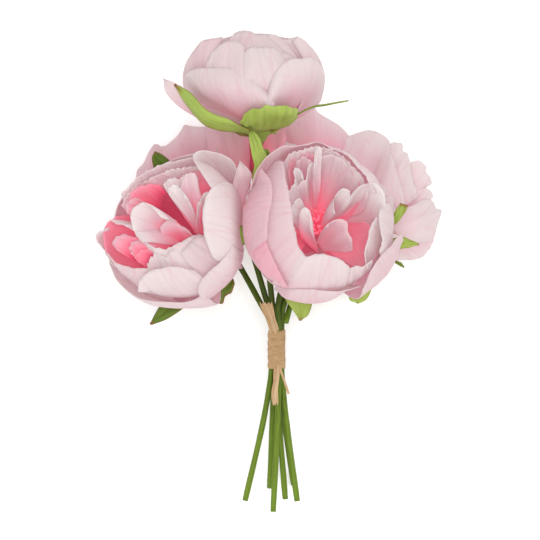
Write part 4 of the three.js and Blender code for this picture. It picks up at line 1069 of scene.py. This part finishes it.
def make_stamens(bloom, material):
    """Filaments that lean out from the heart, each with a knobbly head."""
    random = stream(bloom["seed"] + 900)
    builder = Builder()
    turn, base = bloom_frame(bloom)
    base = base + np.array(bloom.get("stamen_shift", (0, 0, 0)), float)
    floor = RECEPTACLE_HEIGHT * bloom["size"] - 1
    share = np.linspace(0, 1, STAMEN_STEPS)
    radii = np.full(STAMEN_STEPS, STAMEN_RADIUS)
    swell = np.sin(np.linspace(0.25, math.pi - 0.25, HEAD_STEPS)) * HEAD_RADIUS
    for i in range(STAMEN_COUNT):
        out = math.sqrt((i + 0.5) / STAMEN_COUNT)
        angle = i * STAMEN_TURN
        lean = out * STAMEN_LEAN
        tall = STAMEN_HEIGHT * (0.72 + 0.4 * next(random))
        radius = out * STAMEN_SPREAD + tall * share * math.sin(lean) + 0.5 * share**2
        height = floor + tall * share * math.cos(lean)
        path = np.stack([radius * math.cos(angle), radius * math.sin(angle), height], axis=-1)
        tube(builder, path @ turn.T + base, radii, 6, 1, tone=next(random), flush=0)
        head = path[-1] + unit(path[-1] - path[-2]) * np.linspace(-0.8, 1.3, HEAD_STEPS)[:, None]
        tube(builder, head @ turn.T + base, swell, 8, 1, tone=next(random), flush=1)
    return builder.build(f"silk_stamens_{bloom['name']}", material, f"stamens_{bloom['name']}")


def raffia_strip(builder, strip):
    """A loose end: pleated, turned on its way and ragged where it ends."""
    def surface(across, along):
        path = through(strip["points"], along)
        half = across * strip["width"] / 2 * (strip["foot"] + (1 - strip["foot"]) * along)
        half *= 1 + 0.08 * np.sin(9 * along)
        turn = strip["twist"] * along
        fold = strip["fold"] * np.sin(strip["pleats"] * across + 1.5 * along)
        ragged = strip["ragged"] * smooth(0.85, 1, along) * np.sin(13 * across + 2)
        return path + np.stack([half * np.cos(turn) - fold * np.sin(turn), ragged,
                                half * np.sin(turn) + fold * np.cos(turn)], axis=-1)

    uv_size, tone = (strip["width"] / 8, 4), strip["tone"]
    blade(builder, surface, RAFFIA_CELLS, RAFFIA_THICKNESS, placed, uv_size, lambda u, v: 0 * u, tone)


def make_binding(material):
    """The wound strip of raffia, turn over turn, with its loose ends."""
    builder = Builder()
    columns, rows = BINDING_CELLS[0] + 1, BINDING_CELLS[1] + 1
    around, up = np.meshgrid(np.linspace(0, 2 * math.pi, columns), np.linspace(0, 1, rows))
    slant = up * BINDING_TURNS + around / (2 * math.pi) * 0.4
    within = slant % 1
    ridge = np.sin(within * math.pi) ** 0.45
    crumple = 0.1 * np.sin(3 * around + 9 * up) + 0.05 * np.sin(7 * around - 23 * up)
    radius = BINDING_RADIUS + BINDING_BULGE * ridge * (0.7 + 0.6 * within) + crumple
    height = BINDING_LENGTH * (up - 0.5) + 0.35 * np.sin(3 * around + 1) * (2 * up - 1)
    outer = np.stack([radius * np.cos(around), height, radius * np.sin(around)], axis=-1)
    inner = outer * (BINDING_HOLLOW, 1, BINDING_HOLLOW)
    points = placed(np.concatenate([outer.reshape(-1, 3), inner.reshape(-1, 3)]))
    wall, index = quads(rows, columns)
    far = rows * columns
    rims = (index[0], index[-1, ::-1])
    lids = [np.stack([row[1:], row[1:] + far, row[:-1] + far, row[:-1]], axis=-1) for row in rims]
    faces = np.concatenate([wall[:, ::-1], wall + far, *lids])
    uv = np.tile(np.stack([slant.ravel(), around.ravel() * 2], axis=-1), (2, 1))
    builder.add(points, faces, uv, along=0.5, across=np.tile(within.ravel(), 2), tone=0.5)
    for strip in RAFFIA_ENDS:
        raffia_strip(builder, strip)
    return builder.build("raffia_tie", material, "raffia_binding")


# Materials
def linear(hex_colour):
    """An sRGB colour in the values that shaders use."""
    channels = [(hex_colour >> shift & 255) / 255 for shift in (16, 8, 0)]
    return tuple(c / 12.92 if c <= 0.04045 else ((c + 0.055) / 1.055) ** 2.4 for c in channels) + (1,)


class Nodes:
    """Short calls for building a node tree."""

    def __init__(self, name):
        self.material = bpy.data.materials.new(name)
        self.material.use_nodes = True
        self.tree = self.material.node_tree
        self.tree.nodes.clear()

    def node(self, kind, inputs=None, **settings):
        made = self.tree.nodes.new(kind)
        for key, value in settings.items():
            setattr(made, key, value)
        for key, value in (inputs or {}).items():
            self.plug(value, made.inputs[key])
        return made

    def plug(self, value, socket):
        if isinstance(value, bpy.types.NodeSocket):
            self.tree.links.new(value, socket)
        else:
            socket.default_value = value

    def attribute(self, name):
        return self.node("ShaderNodeAttribute", attribute_name=name).outputs["Fac"]

    def maths(self, operation, *values):
        made = self.node("ShaderNodeMath", operation=operation)
        for value, socket in zip(values, made.inputs):
            self.plug(value, socket)
        return made.outputs[0]

    def between(self, value, low, high, to_low=0.0, to_high=1.0):
        """A value from low to high, taken to the range from to_low to to_high."""
        inputs = {"Value": value, "From Min": low, "From Max": high, "To Min": to_low, "To Max": to_high}
        return self.node("ShaderNodeMapRange", inputs).outputs[0]

    def mix(self, share, a, b):
        made = self.node("ShaderNodeMix", data_type="RGBA")
        self.plug(share, made.inputs[0])
        self.plug(a, made.inputs[6])
        self.plug(b, made.inputs[7])
        return made.outputs[2]

    def ramp(self, share, stops):
        made = self.node("ShaderNodeValToRGB", {"Fac": share})
        ramp = made.color_ramp
        while len(ramp.elements) < len(stops):
            ramp.elements.new(0.5)
        for element, (place, colour) in zip(ramp.elements, stops):
            element.position = place
            element.color = linear(colour)
        return made.outputs["Color"]

    def stretched_noise(self, scale_u, scale_v, detail=3.0):
        """Noise drawn out along a blade, from its UV map."""
        uv = self.node("ShaderNodeUVMap", uv_map="strip").outputs[0]
        mapping = self.node("ShaderNodeMapping", {"Vector": uv, "Scale": (scale_u, scale_v, 1)})
        return self.noise(1.0, detail, mapping.outputs[0])

    def noise(self, scale, detail, place=None):
        place = place or self.node("ShaderNodeTexCoord").outputs["Object"]
        made = self.node("ShaderNodeTexNoise", {"Vector": place, "Scale": scale, "Detail": detail})
        return made.outputs["Fac"]

    def bump(self, height, distance, strength):
        inputs = {"Height": height, "Distance": distance, "Strength": strength}
        return self.node("ShaderNodeBump", inputs).outputs[0]

    def plain(self, colour, roughness, **more):
        """A Principled shader. The names of more of its inputs have _ for a blank."""
        inputs = {"Base Color": colour, "Roughness": roughness}
        inputs.update((key.replace("_", " "), value) for key, value in more.items())
        return self.node("ShaderNodeBsdfPrincipled", inputs).outputs[0]

    def thin(self, share, shader, colour, normal):
        """A shader that lets a share of the light through."""
        translucent_and_painted_glow = self.node("ShaderNodeBsdfTranslucent", {"Color": colour, "Normal": normal}).outputs[0]
        return self.node("ShaderNodeMixShader", {0: share, 1: shader, 2: translucent_and_painted_glow}).outputs[0]

    def finish(self, shader):
        self.node("ShaderNodeOutputMaterial", {"Surface": shader})
        return self.material


def petal_material():
    """Silk petals: crimson at the foot, coral walls and pale rims, with fine lengthwise veins, and a painted
    glow.
    """
    n = Nodes("petal_silk")
    flush, along, tone = n.attribute("flush"), n.attribute("along"), n.attribute("tone")
    veins = n.stretched_noise(26, 1.4)
    blotch = n.noise(34, 3)
    drift = n.maths("MULTIPLY_ADD", blotch, 0.16, -0.08)
    streak = n.maths("MULTIPLY_ADD", veins, 0.1, -0.05)
    shift = n.maths("MULTIPLY_ADD", tone, 0.08, -0.04)
    place = n.maths("ADD", n.maths("ADD", flush, drift), n.maths("ADD", streak, shift))
    colour = n.ramp(place, [(0.0, 0xE2E0DE), (0.14, 0xDFD5D5), (0.28, 0xDDBFC6), (0.42, 0xE5A8B6),
                            (0.56, 0xEC93A8), (0.72, 0xEA7592), (0.88, 0xDE3D6C), (1.0, 0xC01650)])
    grain = n.stretched_noise(110, 5)
    colour = n.mix(n.maths("MULTIPLY", grain, 0.12), colour, linear(0xDDB2BA))
    folds = n.stretched_noise(7, 0.8, 1.5)
    nearness = n.maths("ABSOLUTE", n.maths("SUBTRACT", folds, 0.5))
    crease = n.between(nearness, 0.0, 0.02, 1.0, 0.0)
    colour = n.mix(n.maths("MULTIPLY", crease, 0.14), colour, linear(0xD9909C))
    ribs = n.maths("ADD", n.maths("MULTIPLY", veins, 0.7), n.maths("MULTIPLY", grain, 0.3))
    dents = n.stretched_noise(9, 3.4)
    wrinkles = n.maths("SUBTRACT", n.maths("ADD", ribs, dents), n.maths("MULTIPLY", crease, 0.45))
    normal = n.bump(wrinkles, 0.0007, 0.4)
    # Painted glow: every petal emits a rosy light, from 0.18 where pale to 0.34 where the pink is deep. It
    # stands in for light scattered through the silk and lifts the shade inside the blooms.
    translucent_and_painted_glow = n.between(place, 0.2, 0.7, 0.18, 0.34)
    painted_glow_colour = n.mix(0.35, colour, linear(0xFFA6B8))
    silk = n.plain(colour, 0.7, Normal=normal, Emission_Color=painted_glow_colour, Emission_Strength=translucent_and_painted_glow, Sheen_Weight=0.2,
                   Sheen_Roughness=0.5, Specular_IOR_Level=0.3)
    return n.finish(n.thin(0.45, silk, colour, normal))


def leaf_material():
    """Sepals: yellow-green, darker ribs, brown at some tips and edges."""
    n = Nodes("sepal_silk")
    along, across, tone, dark = (n.attribute(name) for name in ("along", "across", "tone", "flush"))
    ribs = n.stretched_noise(16, 0.8)
    blotch = n.noise(60, 3)
    place = n.maths("ADD", n.maths("MULTIPLY_ADD", ribs, 0.5, -0.2), n.maths("MULTIPLY", blotch, 0.5))
    colour = n.ramp(place, [(0.0, 0x8EA43A), (0.3, 0xAABF5A), (0.6, 0xBED178), (0.9, 0xD4E4A0)])
    colour = n.mix(dark, colour, linear(0x4A6A0C))
    tip = n.between(n.maths("ADD", along, n.maths("MULTIPLY", blotch, 0.12)), 0.93, 1.08)
    browned = n.between(tone, 0.1, 0.4)
    colour = n.mix(n.maths("MULTIPLY", tip, browned), colour, linear(0x9A5A3C))
    edge = n.maths("POWER", n.maths("ABSOLUTE", across), 8.0)
    colour = n.mix(n.maths("MULTIPLY", n.maths("MULTIPLY", edge, browned), 0.6), colour, linear(0x8A5A30))
    normal = n.bump(ribs, 0.0008, 0.5)
    silk = n.plain(colour, 0.6, Normal=normal, Specular_IOR_Level=0.35)
    return n.finish(n.thin(0.25, silk, colour, normal))


def stem_material():
    """Wrapped stems: dark green near the blooms, lighter below, a pale cut end."""
    n = Nodes("stem_wrap")
    along = n.attribute("along")
    mottle = n.stretched_noise(9, 2.2)
    fine = n.stretched_noise(30, 9)
    place = n.maths("ADD", n.maths("MULTIPLY", along, 0.55),
                    n.maths("ADD", n.maths("MULTIPLY", mottle, 0.4), n.maths("MULTIPLY", fine, 0.12)))
    colour = n.ramp(place, [(0.15, 0x28340A), (0.4, 0x405010), (0.62, 0x516614), (0.9, 0x6C8424)])
    cut = n.maths("GREATER_THAN", along, 0.99)
    colour = n.mix(cut, colour, linear(0xA9B878))
    normal = n.bump(mottle, 0.0006, 0.5)
    return n.finish(n.plain(colour, 0.5, Normal=normal, Specular_IOR_Level=0.2))


def raffia_material():
    """Dry raffia: fine fibres along the strip, in tan and straw."""
    n = Nodes("dry_raffia")
    tone = n.attribute("tone")
    fibres = n.stretched_noise(34, 0.7, 5.0)
    hair = n.stretched_noise(120, 1.5)
    shade = n.maths("MULTIPLY_ADD", tone, 0.24, n.maths("MULTIPLY_ADD", hair, 0.22, -0.05))
    place = n.maths("ADD", n.maths("MULTIPLY", fibres, 0.7), shade)
    colour = n.ramp(place, [(0.26, 0x7A5228), (0.4, 0xA47B4B), (0.56, 0xC8A376), (0.8, 0xE8CFA8)])
    height = n.maths("ADD", fibres, n.maths("MULTIPLY", hair, 0.5))
    normal = n.bump(height, 0.0008, 0.8)
    return n.finish(n.plain(colour, 0.75, Normal=normal))


def stamen_material():
    """Hot-pink filaments with paler, knobbly heads, with a painted glow."""
    n = Nodes("stamen_thread")
    along, head = n.attribute("along"), n.attribute("flush")
    speck = n.noise(900, 2)
    place = n.maths("MULTIPLY_ADD", speck, 0.2, along)
    thread = n.ramp(place, [(0.0, 0xE01858), (0.6, 0xF64878), (1.0, 0xFC7090)])
    knob = n.ramp(speck, [(0.3, 0xF84E78), (0.6, 0xFF849A), (0.8, 0xFFB4B8)])
    colour = n.mix(head, thread, knob)
    normal = n.bump(speck, 0.0004, 0.6)
    # Painted glow: the stamens emit a quarter of their own colour, standing in for light that lifts them in
    # the shade deep in the bloom.
    return n.finish(n.plain(colour, 0.55, Normal=normal, Emission_Color=colour, Emission_Strength=0.25))


# Camera, floor and light
def add_camera():
    """A camera that looks straight at the side that is shown, as in the photograph."""
    eye = AIM + (0, 0, CAMERA_DISTANCE)
    data = bpy.data.cameras.new("camera")
    camera = bpy.data.objects.new("camera", data)
    bpy.context.scene.collection.objects.link(camera)
    data.sensor_width = 36
    data.lens = data.sensor_width * CAMERA_DISTANCE / (PHOTO_SIDE * PIXEL)
    data.clip_start, data.clip_end = 0.1, 20
    place = Matrix.Translation(placed(eye[None])[0].tolist())
    camera.matrix_world = place @ Matrix.Rotation(LIE_TILT, 4, "X")
    bpy.context.scene.camera = camera


def add_floor():
    mesh = bpy.data.meshes.new("floor")
    corners = [(-1, -1), (1, -1), (1, 1), (-1, 1)]
    mesh.from_pydata([(x * FLOOR_SIDE, y * FLOOR_SIDE, 0) for x, y in corners], [], [(0, 1, 2, 3)])
    floor = bpy.data.objects.new("floor", mesh)
    bpy.context.scene.collection.objects.link(floor)
    n = Nodes("floor_white")
    pale = n.plain((0.9, 0.9, 0.9, 1), 0.9, Emission_Color=(1, 1, 1, 1), Emission_Strength=0.2)
    mesh.materials.append(n.finish(pale))


def add_area(name, place, size, power):
    data = bpy.data.lights.new(name, "AREA")
    data.shape = "DISK"
    data.size = size
    data.energy = power
    light = bpy.data.objects.new(name, data)
    bpy.context.scene.collection.objects.link(light)
    light.location = place
    light.rotation_euler = (Vector(LIGHT_AIM) - Vector(place)).to_track_quat("-Z", "Y").to_euler()


def add_light():
    world = bpy.data.worlds.new("studio")
    bpy.context.scene.world = world
    world.use_nodes = True
    background = world.node_tree.nodes["Background"]
    background.inputs["Color"].default_value = (1, 1, 1, 1)
    background.inputs["Strength"].default_value = WORLD_STRENGTH
    bpy.context.scene.view_settings.view_transform = "Standard"
    for light in LIGHTS:
        add_area(*light)


add_camera()
add_floor()
add_light()
petals, leaves, stems, stamens = petal_material(), leaf_material(), stem_material(), stamen_material()
for each in BLOOMS:
    make_petals(each, petals)
    make_calyx(each, leaves)
    make_stem(each, stems)
    if each["rings"] is not CLOSED:
        make_stamens(each, stamens)
make_binding(raffia_material())
